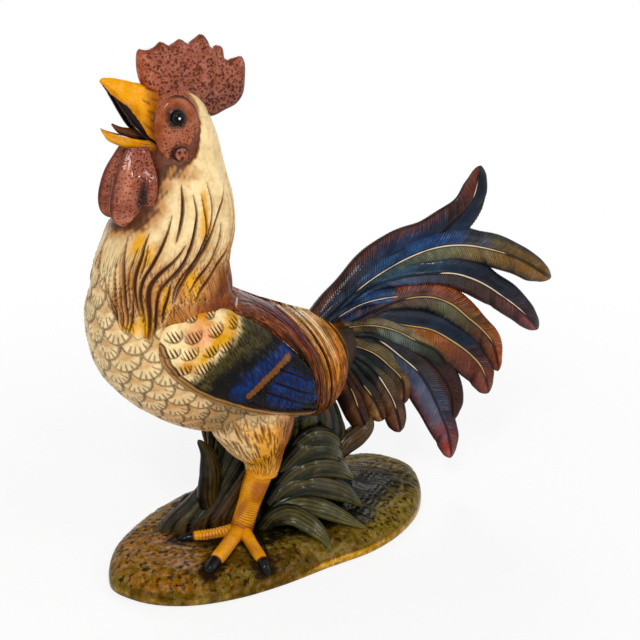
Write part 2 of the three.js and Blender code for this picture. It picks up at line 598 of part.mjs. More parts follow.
const leafShape = ([, ...sizes], grow) => {
  const [wide, thick] = sizes.slice(0, 2).map(inGrass);
  const facing = new THREE.Vector3(0.2, -Math.sign(-sizes[2][1][1]), 0.7).normalize();
  return blade(
    sizes[2].map(([x, y, z]) => grassPlace(x, y, z)),
    [[0, 0.6 * wide, 0.6 * wide, thick], [0.35, wide, wide, thick], [0.7, 0.85 * wide, 0.85 * wide, 0.85 * thick], [1, 0.16 * wide, 0.16 * wide, 1]],
    facing,
    6,
    false,
    grow,
  );
};

// The support: a clump of grass that carries the belly, with the air passage through it.
// Rows of [height, from x, to x, from y, to y].
const SUPPORT_ROWS = [
  [6, -100, 88, -18, 46], [22, -90, 80, -18, 38], [32, -82, 76, -18, 30], [40, -72, 72, -17, 25], [50, -61, 68, -15, 22],
  [62, -53, 67, -14, 20], [76, -51, 70, -14, 20], [90, -52, 66, -16, 22], [104, -55, 60, -20, 24], [120, -52, 50, -26, 28],
];
const supportShape = (grow) =>
  loft(
    SUPPORT_ROWS.map(([z, x0, x1, y0, y1]) =>
      circle(12).map(([c, s]) => {
        const place = grassPlace((x0 + x1) / 2 + (c * (x1 - x0)) / 2, (y0 + y1) / 2 + (s * (y1 - y0)) / 2, z);
        return place.add(new THREE.Vector3(c * grow, s * grow, 0));
      }),
    ),
  );
const airPassage = limb(
  [new THREE.Vector3(AIR_PASSAGE_X, 0, WALL + 3), new THREE.Vector3(AIR_PASSAGE_X, 0, BODY_AXIS_Z - inHeight(40))],
  [[0, AIR_PASSAGE_RADIUS], [1, AIR_PASSAGE_RADIUS]],
  1,
  10,
);

// Assembly: each casting is cut back to its seat on those before it, a slip line away.

const rooster = new THREE.Group();
const placed = [];
const apart = (a, b) => [0, 1, 2].some((k) => a.min[k] > b.max[k] || a.max[k] < b.min[k]);

function add(name, colour, shape, hollow = null) {
  let piece = shape(0);
  for (const other of placed) {
    if (!apart(piece.boundingBox(), other.boundingBox())) piece = piece.subtract(other);
  }
  if (hollow) piece = piece.subtract(hollow);
  piece = largest(largest(piece).simplify(FACET_TOLERANCE));
  placed.push(shape(JOINT_GAP));
  const { numProp, vertProperties, triVerts } = piece.getMesh();
  const geometry = new THREE.BufferGeometry();
  geometry.setAttribute("position", new THREE.BufferAttribute(new Float32Array(vertProperties), numProp));
  geometry.setIndex(new THREE.BufferAttribute(new Uint32Array(triVerts), 1));
  const mesh = new THREE.Mesh(geometry, colour);
  mesh.name = name;
  rooster.add(mesh);
}

// A piece on the bird's left and its mirror image on the right.
function addPair(name, colour, shape) {
  add(`${name}_left`, colour, shape);
  add(`${name}_right`, colour, (grow) => mirrored(shape(grow)));
}

// A leg stands on its own foot: the right one is set back.
function addLeg(hand, back, toes) {
  const turned = (piece) => (hand === "left" ? piece : mirrored(piece));
  add(`foot_${hand}`, AMBER, (grow) => turned(footShape(grow, back, toes)));
  add(`shank_${hand}`, AMBER, (grow) => turned(shankShape(grow, back)));
  add(`thigh_${hand}`, CREAM, (grow) => turned(thighShape(grow, back)));
}

// What lies below a level.
const below = (z) => slab([[-300, -300], [300, -300], [300, z], [-300, z]].map(([a, b]) => new THREE.Vector2(a, b)), -200, 200);

const vent = limb(
  [new THREE.Vector3(VENT_X, VENT_Y, -1), new THREE.Vector3(VENT_X, VENT_Y, WALL + 4)],
  [[0, VENT_RADIUS], [1, VENT_RADIUS]],
  1,
  16,
);
const moundHollow = moundShape(WALL, 14);
const bodyHollow = bodyShape(-WALL, 7, 12);
const neckHollow = neckShape(-WALL, 0, 5, 12).intersect(below(HEAD_Z - 0.77 * HEAD_HEIGHT));
const neckOpening = neckShape(-WALL - NECK_SEAT, 0, 3, 14);

add("base", MOSS, (grow) => moundShape(-grow), moundHollow.add(vent).add(airPassage));
add("body", CREAM, bodyShape, bodyHollow.add(airPassage).add(neckOpening));
add("neck_hackle", CREAM, (grow) => neckShape(grow, HACKLE_RELIEF), neckHollow);
add("head", RED, headShape);
add("beak_upper", AMBER, (grow) => beakShape(UPPER_BEAK, grow), mouthHollow(UPPER_BEAK, false));
add("beak_lower", AMBER, (grow) => beakShape(LOWER_BEAK, grow), mouthHollow(LOWER_BEAK, true));
add("comb", RED, combShape);
addPair("face", RED, faceShape);
addPair("eye", BLACK, eyeShape);
addPair("earlobe", RED, earlobeShape);
addPair("wattle", RED, wattleShape);
add("tongue", RED, tongueShape);
addPair("wing", BLUE, wingShape);
addPair("saddle_hackle", RUST, saddleShape);
addLeg("left", 0, TOES_LEFT);
addLeg("right", STRIDE, TOES_RIGHT);
add("support", LEAF, supportShape, airPassage);
for (const feather of TAIL) add(feather[0], SLATE, (grow) => tailFeather(feather, grow));
for (const leaf of [...LEAVES_NEAR, ...LEAVES_FAR]) add(leaf[0], LEAF, (grow) => leafShape(leaf, grow));

export default rooster;
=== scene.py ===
"""Glazed earthenware rooster: the carved and painted surfaces over the cast solids, and a pale studio.

Sizes are in millimetres until a mesh is made, and in the frame of the cast solids: the bird faces -X and its left
side is towards -Y.
"""
import math

import bpy
import numpy as np
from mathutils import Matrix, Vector


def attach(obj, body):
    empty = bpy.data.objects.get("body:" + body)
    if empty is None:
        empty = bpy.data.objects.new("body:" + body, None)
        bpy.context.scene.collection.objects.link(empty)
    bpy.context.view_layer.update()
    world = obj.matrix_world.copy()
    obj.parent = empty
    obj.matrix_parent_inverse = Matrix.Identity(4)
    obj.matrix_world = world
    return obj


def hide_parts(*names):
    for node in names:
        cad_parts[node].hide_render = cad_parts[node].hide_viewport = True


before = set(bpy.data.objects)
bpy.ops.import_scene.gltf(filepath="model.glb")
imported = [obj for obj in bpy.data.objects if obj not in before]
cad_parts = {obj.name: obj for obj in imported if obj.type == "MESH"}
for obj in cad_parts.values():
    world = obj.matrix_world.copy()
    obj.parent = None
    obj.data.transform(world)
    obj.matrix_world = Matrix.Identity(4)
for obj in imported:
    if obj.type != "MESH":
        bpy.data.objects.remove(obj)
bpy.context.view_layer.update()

MM = 0.001

# Sizes shared with the cast solids

BREAST_X = -184
BODY_LENGTH = 207
BODY_AXIS_Z = 172
BODY_ROWS = [
    [0, 26, 6, 6], [0.03, 25, 30, 28], [0.1, 21, 47, 42], [0.2, 14, 58.5, 52], [0.32, 5, 64, 57], [0.46, -7.5, 60, 59],
    [0.58, -16, 53, 56], [0.7, -22, 46, 51], [0.82, -26, 40, 43], [0.92, -23.5, 30.5, 32], [1, -16, 19, 19],
]

HEAD_X = -113
HEAD_Z = 339
HEAD_HALF = (25, 19.5, 26)

NECK_BOTTOM_Z = 206
NECK_TOP_Z = HEAD_Z + 6
NECK_BOTTOM_X = -130
NECK_ROWS = [
    [0, -1, 50, 53], [0.15, 1, 50, 51], [0.28, 2, 47, 47], [0.41, -2, 45.5, 43], [0.54, -5, 41, 38],
    [0.66, -7, 34.5, 31.5], [0.78, -8, 28, 25], [0.9, -7, 23.5, 21], [1, -5, 19, 17],
]

COMB_THICKNESS = 13
COMB_OUTLINE = [
    (-23, 29), (-26, 43), (-24, 53), (-18, 53), (-13, 54), (-8, 57.5), (-3, 55), (1, 56), (6, 58.5), (11, 55.5),
    (16, 58), (21.5, 61), (25.5, 57), (28.5, 51.5), (33, 53), (36.5, 51), (38.5, 43), (44, 43.5), (50.5, 44.5),
    (53, 40), (53, 29), (51, 18), (46, 11.5), (37, 7.5), (26, 4), (12, 12), (-2, 18), (-15, 22),
]

# Rows of x and z of the upper line, x and z of the lower line, and half width, from the middle of the head
UPPER_BEAK = [
    [-13, 27, -15, -12, 12], [-20, 29, -24.5, -6, 11], [-26, 31, -32, 1, 9.2], [-36, 34, -38.5, 11.5, 7],
    [-44, 35.8, -44.5, 22.5, 5], [-49.5, 36, -49, 29.5, 3.2], [-52, 34.6, -51.8, 33, 1.2],
]
# The rim of the upper beak's horn, over the dark inside of the mouth: x and z from the middle of the head
BEAK_RIM = [(-52, 31), (-48.8, 27.5), (-43.7, 22.7), (-35.6, 16.7), (-29, 6.7), (-25.7, 0.6), (-23.7, -4.1), (-12, -14)]
LOWER_BEAK = [
    [-15, -7, -15, -20, 11], [-22, -7, -24, -17, 10], [-30, -6, -33, -14, 8.5], [-40, -3.4, -42, -10.5, 6.4],
    [-48, -0.4, -49, -6.4, 4], [-53.5, 2.4, -53, 0, 1.2],
]

WATTLE_TOP = (HEAD_X - 29, HEAD_Z - 11)
WATTLE_LENGTH = 54
WATTLE_WIDTH = 33
WATTLE_THICKNESS = 12
WATTLE_SPREAD = 13
WATTLE_LEAN = 9
WATTLE_ROWS = [
    [0, 0.5, 0.55], [0.1, 0.66, 0.64], [0.3, 0.92, 0.82], [0.55, 1.04, 0.98], [0.74, 1.05, 0.93], [0.88, 0.93, 0.76],
    [0.955, 0.7, 0.55], [0.985, 0.43, 0.38], [1, 0.1, 0.15],
]

MOUND_HEIGHT = 21
MOUND_LIP = 5
MOUND_EDGE_RADIUS = 17
MOUND_CROWN_REACH = 60
MOUND_MIDDLE = (-44.2, -2)
MOUND_OUTLINE = [
    (-187, -24), (-178, -45), (-163, -61), (-140, -73), (-108, -79), (-72, -78), (-30, -71.5), (12, -66), (45, -53),
    (76, -30), (98, 1), (106, 31), (98, 54), (74, 69), (36, 76), (-30, 78), (-86, 74), (-122, 60), (-154, 37), (-177, 8),
]
VENT = (-62, 24)
VENT_RADIUS = 5

LEG_SPREAD = 27
HIP_Z = 130
HOCK_X = -63.2
HOCK_Z = 72
ANKLE_X = -81.2
STRIDE = 27
TOE_RADIUS = 5
TOES_LEFT = [(-15, 49, 4.4), (41, 59, 5.6), (88, 51.9, 4.6)]
TOES_RIGHT = [(-16, 46, 4.4), (22, 54.3, 5.6), (62, 40.1, 4.6)]


# Curves and grids, worked out as whole arrays

def along(rows, t):
    """Smooth values at t between rows of [t, value, ...]: cubic pieces whose slopes are those of the chords."""
    rows = np.asarray(rows, float)
    x, values = rows[:, 0], rows[:, 1:]
    t = np.asarray(t, float)
    i = np.clip(np.searchsorted(x, t, side="right") - 1, 0, len(x) - 2)
    before, after = np.maximum(i - 1, 0), np.minimum(i + 2, len(x) - 1)
    span = (x[i + 1] - x[i])[..., None]
    s = np.clip((t - x[i]) / (x[i + 1] - x[i]), 0, 1)[..., None]
    slope0 = (values[i + 1] - values[before]) / (x[i + 1] - x[before])[..., None] * span
    slope1 = (values[after] - values[i]) / (x[after] - x[i])[..., None] * span
    return (
        (2 * s**3 - 3 * s**2 + 1) * values[i]
        + (s**3 - 2 * s**2 + s) * slope0
        + (3 * s**2 - 2 * s**3) * values[i + 1]
        + (s**3 - s**2) * slope1
    )


def catmull(points, count, closed=False):
    """Evenly spaced points on the centripetal Catmull-Rom curve through points."""
    p = np.asarray(points, float)
    if closed:
        p = np.concatenate([p[-1:], p, p[:2]])
    else:
        p = np.concatenate([2 * p[:1] - p[1:2], p, 2 * p[-1:] - p[-2:-1]])
    p0, p1, p2, p3 = p[:-3], p[1:-2], p[2:-1], p[3:]
    d0, d1, d2 = (np.sqrt(np.linalg.norm(b - a, axis=1))[:, None] for a, b in ((p0, p1), (p1, p2), (p2, p3)))
    m1 = ((p1 - p0) / d0 - (p2 - p0) / (d0 + d1) + (p2 - p1) / d1) * d1
    m2 = ((p2 - p1) / d1 - (p3 - p1) / (d1 + d2) + (p3 - p2) / d2) * d1
    s = np.linspace(0, 1, 33)[None, :, None]
    p1, p2, m1, m2 = (a[:, None, :] for a in (p1, p2, m1, m2))
    fine = (2 * s**3 - 3 * s**2 + 1) * p1 + (s**3 - 2 * s**2 + s) * m1 + (3 * s**2 - 2 * s**3) * p2 + (s**3 - s**2) * m2
    fine = np.concatenate([fine[:, :-1].reshape(-1, p.shape[1]), fine[-1, -1:]])
    length = np.concatenate([[0], np.cumsum(np.linalg.norm(np.diff(fine, axis=0), axis=1))])
    even = np.linspace(0, length[-1], count + 1)
    curve = np.stack([np.interp(even, length, fine[:, k]) for k in range(p.shape[1])], -1)
    return curve[:-1] if closed else curve


def unit(v):
    """Vectors of length 1 in the same directions."""
    return v / np.maximum(np.linalg.norm(v, axis=-1, keepdims=True), 1e-9)


def smooth(low, high, x):
    """0 below low, 1 above high, and an S-shaped rise between them."""
    t = np.clip((x - low) / (high - low), 0, 1)
    return t * t * (3 - 2 * t)


def bump(x, middle, width):
    """A bell of height 1 over middle."""
    return np.exp(-(((x - middle) / width) ** 2))


def turns(count):
    """Angles evenly round a circle, as a row."""
    return np.arange(count)[None, :] / count * 2 * np.pi


def outwards(points):
    """Outward normals of rings of points: the cross product of the steps round the rings and along them."""
    around = np.roll(points, -1, 1) - np.roll(points, 1, 1)
    ahead = np.gradient(points, axis=0)
    normal = unit(np.cross(around, ahead))
    middle = points.mean(1, keepdims=True)
    sign = np.sign(np.sum(normal * (points - middle)))
    return normal * sign


def raised(points, height):
    """Rings of points moved along their outward normals by height."""
    return points + outwards(points) * height[..., None]


# Random values that are the same on each run

def shuffled(seed, count):
    """count values from 0 to 1 that depend on seed alone."""
    return np.random.RandomState(seed).rand(count)


def ripple(seed, *coords):
    """A smooth uneven field between about -1 and 1: five sines along seeded directions of the coordinates."""
    random = np.random.RandomState(seed)
    total = 0
    for _ in range(5):
        ways = random.uniform(-1, 1, len(coords))
        total = total + np.sin(sum(w * c for w, c in zip(ways, coords)) * random.uniform(0.6, 1.6) + random.uniform(0, 6.3))
    return total / 3


# Carving patterns

def strokes(u, v, lanes, length, fill, width, seed, taper=0.6):
    """Carved strokes of a gouge: each lane of u holds a row of spindle-shaped cuts along v.

    u runs from 0 to 1 across the lanes and wraps. A cut is as long as fill times length, starts at a seeded place,
    and its width follows the sine of its own length to the power taper. The value is 1 in the middle of a cut.
    """
    lane = np.floor(u * lanes).astype(int) % lanes
    starts = shuffled(seed, lanes)
    lengths = length * (0.7 + 0.6 * shuffled(seed + 1, lanes))
    shift = 0.5 + 0.25 * (shuffled(seed + 2, lanes) - 0.5)
    place = v / lengths[lane] + starts[lane]
    fraction = np.mod(place, 1) / fill
    spindle = np.where(fraction < 1, np.sin(np.pi * np.clip(fraction, 0, 1)), 0) ** taper
    off = np.mod(u * lanes, 1) - shift[lane]
    return spindle * np.exp(-((off / (width * np.maximum(spindle, 0.15))) ** 2))


def to_line(x, z, points):
    """The distance from places x, z to a line through points, and the share of its length where it is nearest."""
    points = np.asarray(points, float)
    lengths = np.concatenate([[0], np.cumsum(np.linalg.norm(np.diff(points, axis=0), axis=1))])
    best = np.full(np.shape(x), 1e6)
    share = np.zeros(np.shape(x))
    for k, (a, b) in enumerate(zip(points[:-1], points[1:])):
        step = b - a
        s = np.clip(((x - a[0]) * step[0] + (z - a[1]) * step[1]) / (step @ step), 0, 1)
        far = np.hypot(x - a[0] - s * step[0], z - a[1] - s * step[1])
        nearer = far < best
        best = np.where(nearer, far, best)
        share = np.where(nearer, (lengths[k] + s * (lengths[k + 1] - lengths[k])) / lengths[-1], share)
    return best, share


def gouged(u, v, cuts, reach=12):
    """Single cuts of a gouge, each (width, points) on the smooth curve through its points.

    Returns how much of a cut is at each place, and how many half widths away the nearest cut is. A cut's width
    follows the sine of its own length to the power 0.5.
    """
    cut, side = np.zeros(np.shape(u)), np.full(np.shape(u), 99.0)
    for width, points in cuts:
        line = catmull(points, 5 * (len(points) - 1))
        low, high = line.min(0) - reach, line.max(0) + reach
        near = np.nonzero((u > low[0]) & (u < high[0]) & (v > low[1]) & (v < high[1]))
        off, share = to_line(u[near], v[near], line)
        spindle = np.sin(np.pi * np.clip(share * 0.96 + 0.02, 0, 1)) ** 0.5
        far = off / (0.5 * width * np.maximum(spindle, 0.1))
        cut[near] = np.maximum(cut[near], spindle**0.5 * np.exp(-(far**4)))
        side[near] = np.minimum(side[near], far)
    return cut, side


def within(x, z, outline):
    """The distance from places x, z in to a closed outline: above 0 inside it and below 0 outside."""
    points = catmull(outline, 6 * len(outline), closed=True)
    ends = np.roll(points, -1, 0)
    far, _ = to_line(x, z, np.concatenate([points, points[:1]]))
    crossings = np.zeros(np.shape(x), int)
    for a, b in zip(points, ends):
        if a[1] != b[1]:
            spans = (z >= min(a[1], b[1])) & (z < max(a[1], b[1]))
            crossings += spans & (x < a[0] + (z - a[1]) / (b[1] - a[1]) * (b[0] - a[0]))
    return np.where(crossings % 2 == 1, far, -far)


def rounded(distance, radius):
    """A quarter circle's rise from 0 at the edge to 1 at radius inside it."""
    return np.sqrt(1 - (1 - np.clip(distance / radius, 0, 1)) ** 2)


def scales(u, v, width, row, reach=1.0):
    """Overlapping scale feathers in millimetres: discs hung in rows, each row half a disc aside of the last.

    Returns (edge, ray, height). A disc has the radius reach times the width over 2 and hangs from the middle of its
    top edge, and the upper rows lie over the lower ones. edge is 1 on a disc's rim, ray is 1 on the short lines that
    spread from its top, and height falls from the rim of a disc up to its middle.
    """
    radius = reach * width / 2
    count = int(np.ceil(radius / row))
    found = np.zeros(u.shape, bool)
    rim = np.full(u.shape, 1e3)
    across = np.zeros(u.shape)
    down = np.zeros(u.shape)
    seed = np.zeros(u.shape)
    for back in range(count, -1, -1):
        r = np.floor(v / row) - back
        shifted = u + 0.5 * width * np.mod(r, 2)
        x = np.mod(shifted, width) - width / 2
        y = v - r * row
        far = np.hypot(x, y)
        mine = (far < radius) & ~found
        rim = np.where(mine, radius - far, rim)
        across = np.where(mine, x, across)
        down = np.where(mine, y, down)
        seed = np.where(mine, np.sin(np.floor(shifted / width) * 12.9 + r * 78.2), seed)
        found |= mine
    edge = np.exp(-((np.maximum(rim - 0.5, 0) / 1.05) ** 2))
    angle = np.arctan2(across, down + 0.3 * row) + 0.1 * seed
    spread = np.mod(angle / 0.34 + 0.5, 1) - 0.5
    far = radius - rim
    inner = 0.36 + 0.1 * np.cos(angle / 0.34 * np.pi + 3 * seed)
    ray = np.exp(-((spread / 0.17) ** 2)) * smooth(inner, inner + 0.08, far / radius) * smooth(0.92, 0.8, far / radius)
    ray = ray * (np.abs(angle) < 0.8)
    height = np.sqrt(np.clip(1 - rim / radius, 0, 1)) * smooth(0, 1.2, rim)
    return edge * found, ray * found, np.where(found, height, 0)


# Meshes

def shell(name, rings, marks=None, uv=None, material=None, node=None):
    """A closed skin over rings of points, each end drawn to its middle, in metres, with a value per point for each
    mark and a UV map in millimetres."""
    rows, around = rings.shape[:2]
    caps = np.stack([rings[0].mean(0), rings[-1].mean(0)])
    points = np.concatenate([rings.reshape(-1, 3), caps]) * MM
    i, k = np.meshgrid(np.arange(rows - 1), np.arange(around), indexing="ij")
    next_k = (k + 1) % around
    quads = np.stack([i * around + k, i * around + next_k, (i + 1) * around + next_k, (i + 1) * around + k], -1)
    quads = quads.reshape(-1, 4)
    k = np.arange(around)
    first, last = rows * around, (rows - 1) * around
    start = np.stack([np.full(around, first), (k + 1) % around, k], -1)
    end = np.stack([np.full(around, first + 1), last + k, last + (k + 1) % around], -1)
    volume = signed_volume(points, quads)
    if volume < 0:
        quads, start, end = quads[:, ::-1], start[:, ::-1], end[:, ::-1]
    corners = np.concatenate([quads.ravel(), start.ravel(), end.ravel()])
    sizes = np.concatenate([np.full(len(quads), 4), np.full(2 * around, 3)])
    mesh = bpy.data.meshes.new(name)
    mesh.vertices.add(len(points))
    mesh.vertices.foreach_set("co", points.ravel())
    mesh.loops.add(len(corners))
    mesh.loops.foreach_set("vertex_index", corners.astype(np.int32))
    mesh.polygons.add(len(sizes))
    mesh.polygons.foreach_set("loop_start", np.concatenate([[0], np.cumsum(sizes)[:-1]]).astype(np.int32))
    mesh.update(calc_edges=True)
    mesh.shade_smooth()
    for mark, values in (marks or {}).items():
        values = np.broadcast_to(values, rings.shape[:2])
        ends = [values[0].mean(), values[-1].mean()]
        layer = mesh.attributes.new(mark, "FLOAT", "POINT")
        layer.data.foreach_set("value", np.concatenate([values.ravel(), ends]).astype(np.float32))
    if uv is not None:
        flat = np.concatenate([uv.reshape(-1, 2), uv[0].mean(0)[None], uv[-1].mean(0)[None]])[corners]
        mesh.uv_layers.new(name="flow").data.foreach_set("uv", (flat * MM).ravel())
    mesh.validate()
    piece = bpy.data.objects.new(name, mesh)
    bpy.context.scene.collection.objects.link(piece)
    if material:
        mesh.materials.append(material)
    if node:
        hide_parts(*([node] if isinstance(node, str) else node))
    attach(piece, "root")
    return piece


def signed_volume(points, quads):
    """The volume inside quads, negative when they face inwards."""
    a, b, c, d = (points[quads[:, k]] for k in range(4))
    return np.sum(np.einsum("ij,ij->i", a, np.cross(b, c)) + np.einsum("ij,ij->i", a, np.cross(c, d))) / 6


# Painting with glazes: node groups and materials

def glaze(red, green, blue):
    """A colour from 0 to 255 as it shows, turned into the linear values that a shader takes."""
    shown = np.array([red, green, blue]) / 255
    linear = np.where(shown <= 0.04045, shown / 12.92, ((shown + 0.055) / 1.055) ** 2.4)
    return (*linear.tolist(), 1.0)


BROWN = glaze(104, 56, 22)
UMBER = glaze(56, 28, 12)
INK = glaze(14, 12, 14)
FEATHER_DARK = glaze(10, 9, 11)
GLOSS = 0.17


def new_group(name, inputs, outputs):
    """An empty shader group with its sockets: rows of (name, kind, default)."""
    group = bpy.data.node_groups.new(name, "ShaderNodeTree")
    for side, rows in (("INPUT", inputs), ("OUTPUT", outputs)):
        for label, kind, default in rows:
            socket = group.interface.new_socket(name=label, in_out=side, socket_type=f"NodeSocket{kind}")
            if default is not None:
                socket.default_value = default
    return group, group.nodes.new("NodeGroupInput").outputs, group.nodes.new("NodeGroupOutput").inputs


def node(tree, kind, inputs=None, **settings):
    """A shader node with its settings, and its inputs set or linked by name or number."""
    made = tree.nodes.new(f"ShaderNode{kind}")
    for key, value in settings.items():
        setattr(made, key, value)
    for key, value in (inputs or {}).items():
        if isinstance(value, bpy.types.NodeSocket):
            tree.links.new(value, made.inputs[key])
        else:
            made.inputs[key].default_value = value
    return made


def maths(tree, operation, a, b=0.0, clamp=False):
    """One sum of two values."""
    return node(tree, "Math", {0: a, 1: b}, operation=operation, use_clamp=clamp).outputs[0]


def mixed(tree, factor, a, b, blend="MIX"):
    """Colour a turned towards colour b by factor."""
    made = node(tree, "Mix", data_type="RGBA", blend_type=blend)
    for key, value in ((0, factor), (6, a), (7, b)):
        if isinstance(value, bpy.types.NodeSocket):
            tree.links.new(value, made.inputs[key])
        else:
            made.inputs[key].default_value = value
    return made.outputs[2]


def ranged(tree, value, low, high, to_low=0.0, to_high=1.0):
    """value taken smoothly from low..high to to_low..to_high."""
    made = node(tree, "MapRange", {0: value, 1: low, 2: high, 3: to_low, 4: to_high}, interpolation_type="SMOOTHSTEP")
    return made.outputs[0]


def group_brushed():
    """A brushed edge: a mask whose border wanders with noise, and turns sharp."""
    group, inside, out = new_group(
        "brushed edge",
        [("Mask", "Float", 0.0), ("Scale", "Float", 120.0), ("Ragged", "Float", 0.35), ("Soft", "Float", 0.3)],
        [("Mask", "Float", None)],
    )
    place = node(group, "TexCoord").outputs["Object"]
    noise = node(group, "TexNoise", {"Vector": place, "Scale": inside["Scale"], "Detail": 3.0}).outputs[0]
    wander = maths(group, "MULTIPLY", maths(group, "SUBTRACT", noise, 0.5), inside["Ragged"])
    moved = maths(group, "ADD", inside["Mask"], maths(group, "MULTIPLY", wander, 2.0))
    low = maths(group, "SUBTRACT", 0.5, inside["Soft"])
    high = maths(group, "ADD", 0.5, inside["Soft"])
    group.links.new(ranged(group, moved, low, high), out["Mask"])
    return group


def group_mottle():
    """The unevenness of a brushed glaze: its colour is thicker and darker in some places than in others."""
    group, inside, out = new_group(
        "glaze mottle",
        [("Colour", "Color", (1, 1, 1, 1)), ("Scale", "Float", 60.0), ("Strength", "Float", 0.3)],
        [("Colour", "Color", None)],
    )
    place = node(group, "TexCoord").outputs["Object"]
    broad = node(group, "TexNoise", {"Vector": place, "Scale": inside["Scale"], "Detail": 4.0, "Roughness": 0.6}).outputs[0]
    fine = node(group, "TexNoise", {"Vector": place, "Scale": maths(group, "MULTIPLY", inside["Scale"], 7.0), "Detail": 2.0})
    both = maths(group, "ADD", maths(group, "MULTIPLY", broad, 0.7), maths(group, "MULTIPLY", fine.outputs[0], 0.3))
    swing = maths(group, "MULTIPLY", maths(group, "SUBTRACT", both, 0.5), inside["Strength"])
    value = maths(group, "ADD", maths(group, "MULTIPLY", swing, 2.4), 1.0)
    warm = node(group, "HueSaturation", {"Saturation": maths(group, "SUBTRACT", 1.0, maths(group, "MULTIPLY", swing, 0.8)),
                                         "Value": value, "Color": inside["Colour"]})
    group.links.new(warm.outputs[0], out["Colour"])
    return group


def group_pool():
    """Dark glaze that ran into a carved line: it covers the colour below, and is thickest in the middle."""
    group, inside, out = new_group(
        "pooled glaze",
        [("Colour", "Color", (1, 1, 1, 1)), ("Pool", "Color", (0, 0, 0, 1)), ("Mask", "Float", 0.0), ("Reach", "Float", 0.35)],
        [("Colour", "Color", None)],
    )
    place = node(group, "TexCoord").outputs["Object"]
    noise = node(group, "TexNoise", {"Vector": place, "Scale": 420.0, "Detail": 2.0}).outputs[0]
    grain = maths(group, "MULTIPLY", maths(group, "SUBTRACT", noise, 0.5), 0.5)
    mask = maths(group, "ADD", inside["Mask"], maths(group, "MULTIPLY", grain, inside["Mask"]))
    thin = ranged(group, mask, 0.04, maths(group, "ADD", 0.06, inside["Reach"]), 0.0, 0.6)
    thick = ranged(group, mask, maths(group, "ADD", 0.06, inside["Reach"]), 0.95, 0.0, 0.4)
    covered = maths(group, "ADD", thin, thick)
    group.links.new(mixed(group, covered, inside["Colour"], inside["Pool"]), out["Colour"])
    return group


def group_barbs():
    """The barbs of a feather: fine slanting lines on both sides of its rib, from a UV map in metres."""
    group, inside, out = new_group(
        "feather barbs",
        [("Flow", "Vector", None), ("Spacing", "Float", 0.0021), ("Slant", "Float", 0.7), ("Wander", "Float", 0.35)],
        [("Line", "Float", None)],
    )
    split = node(group, "SeparateXYZ", {0: inside["Flow"]})
    off = maths(group, "ABSOLUTE", split.outputs[1])
    noise = node(group, "TexNoise", {"Vector": inside["Flow"], "Scale": 230.0, "Detail": 1.0}).outputs[0]
    shift = maths(group, "MULTIPLY", maths(group, "MULTIPLY", noise, inside["Wander"]), inside["Spacing"])
    bent = maths(group, "SUBTRACT", split.outputs[0], maths(group, "MULTIPLY", off, inside["Slant"]))
    phase = maths(group, "DIVIDE", maths(group, "ADD", bent, maths(group, "MULTIPLY", shift, 4.0)), inside["Spacing"])
    wave = maths(group, "SINE", maths(group, "MULTIPLY", phase, 2 * math.pi))
    group.links.new(ranged(group, wave, 0.3, 1.0), out["Line"])
    return group


def group_pits():
    """Small round pits with a dark floor and a paler lip, as pressed into the comb and the bare skin."""
    group, inside, out = new_group(
        "pressed pits",
        [("Scale", "Float", 300.0), ("Size", "Float", 0.3)],
        [("Floor", "Float", None), ("Lip", "Float", None)],
    )
    place = node(group, "TexCoord").outputs["Object"]
    noise = node(group, "TexNoise", {"Vector": place, "Scale": maths(group, "MULTIPLY", inside["Scale"], 1.7)}).outputs[1]
    shift = node(group, "VectorMath", {0: noise, 3: 0.0022}, operation="SCALE").outputs[0]
    moved = node(group, "VectorMath", {0: place, 1: shift}, operation="ADD").outputs[0]
    cells = node(group, "TexVoronoi", {"Vector": moved, "Scale": inside["Scale"], "Randomness": 1.0})
    far = cells.outputs["Distance"]
    group.links.new(ranged(group, far, inside["Size"], maths(group, "MULTIPLY", inside["Size"], 0.45)), out["Floor"])
    rise = ranged(group, far, inside["Size"], maths(group, "MULTIPLY", inside["Size"], 1.25))
    fall = ranged(group, far, maths(group, "MULTIPLY", inside["Size"], 2.0), maths(group, "MULTIPLY", inside["Size"], 1.3))
    group.links.new(maths(group, "MULTIPLY", rise, fall), out["Lip"])
    return group


BRUSHED, MOTTLE, POOL, BARBS, PITS = group_brushed(), group_mottle(), group_pool(), group_barbs(), group_pits()


def grouped(tree, group, inputs):
    """A node group placed in a material with its own values."""
    made = tree.nodes.new("ShaderNodeGroup")
    made.node_tree = group
    for key, value in inputs.items():
        if isinstance(value, bpy.types.NodeSocket):
            tree.links.new(value, made.inputs[key])
        else:
            made.inputs[key].default_value = value
    return made.outputs


def mark(tree, name):
    """A value that a piece carries at its points."""
    return node(tree, "Attribute", attribute_name=name).outputs["Fac"]


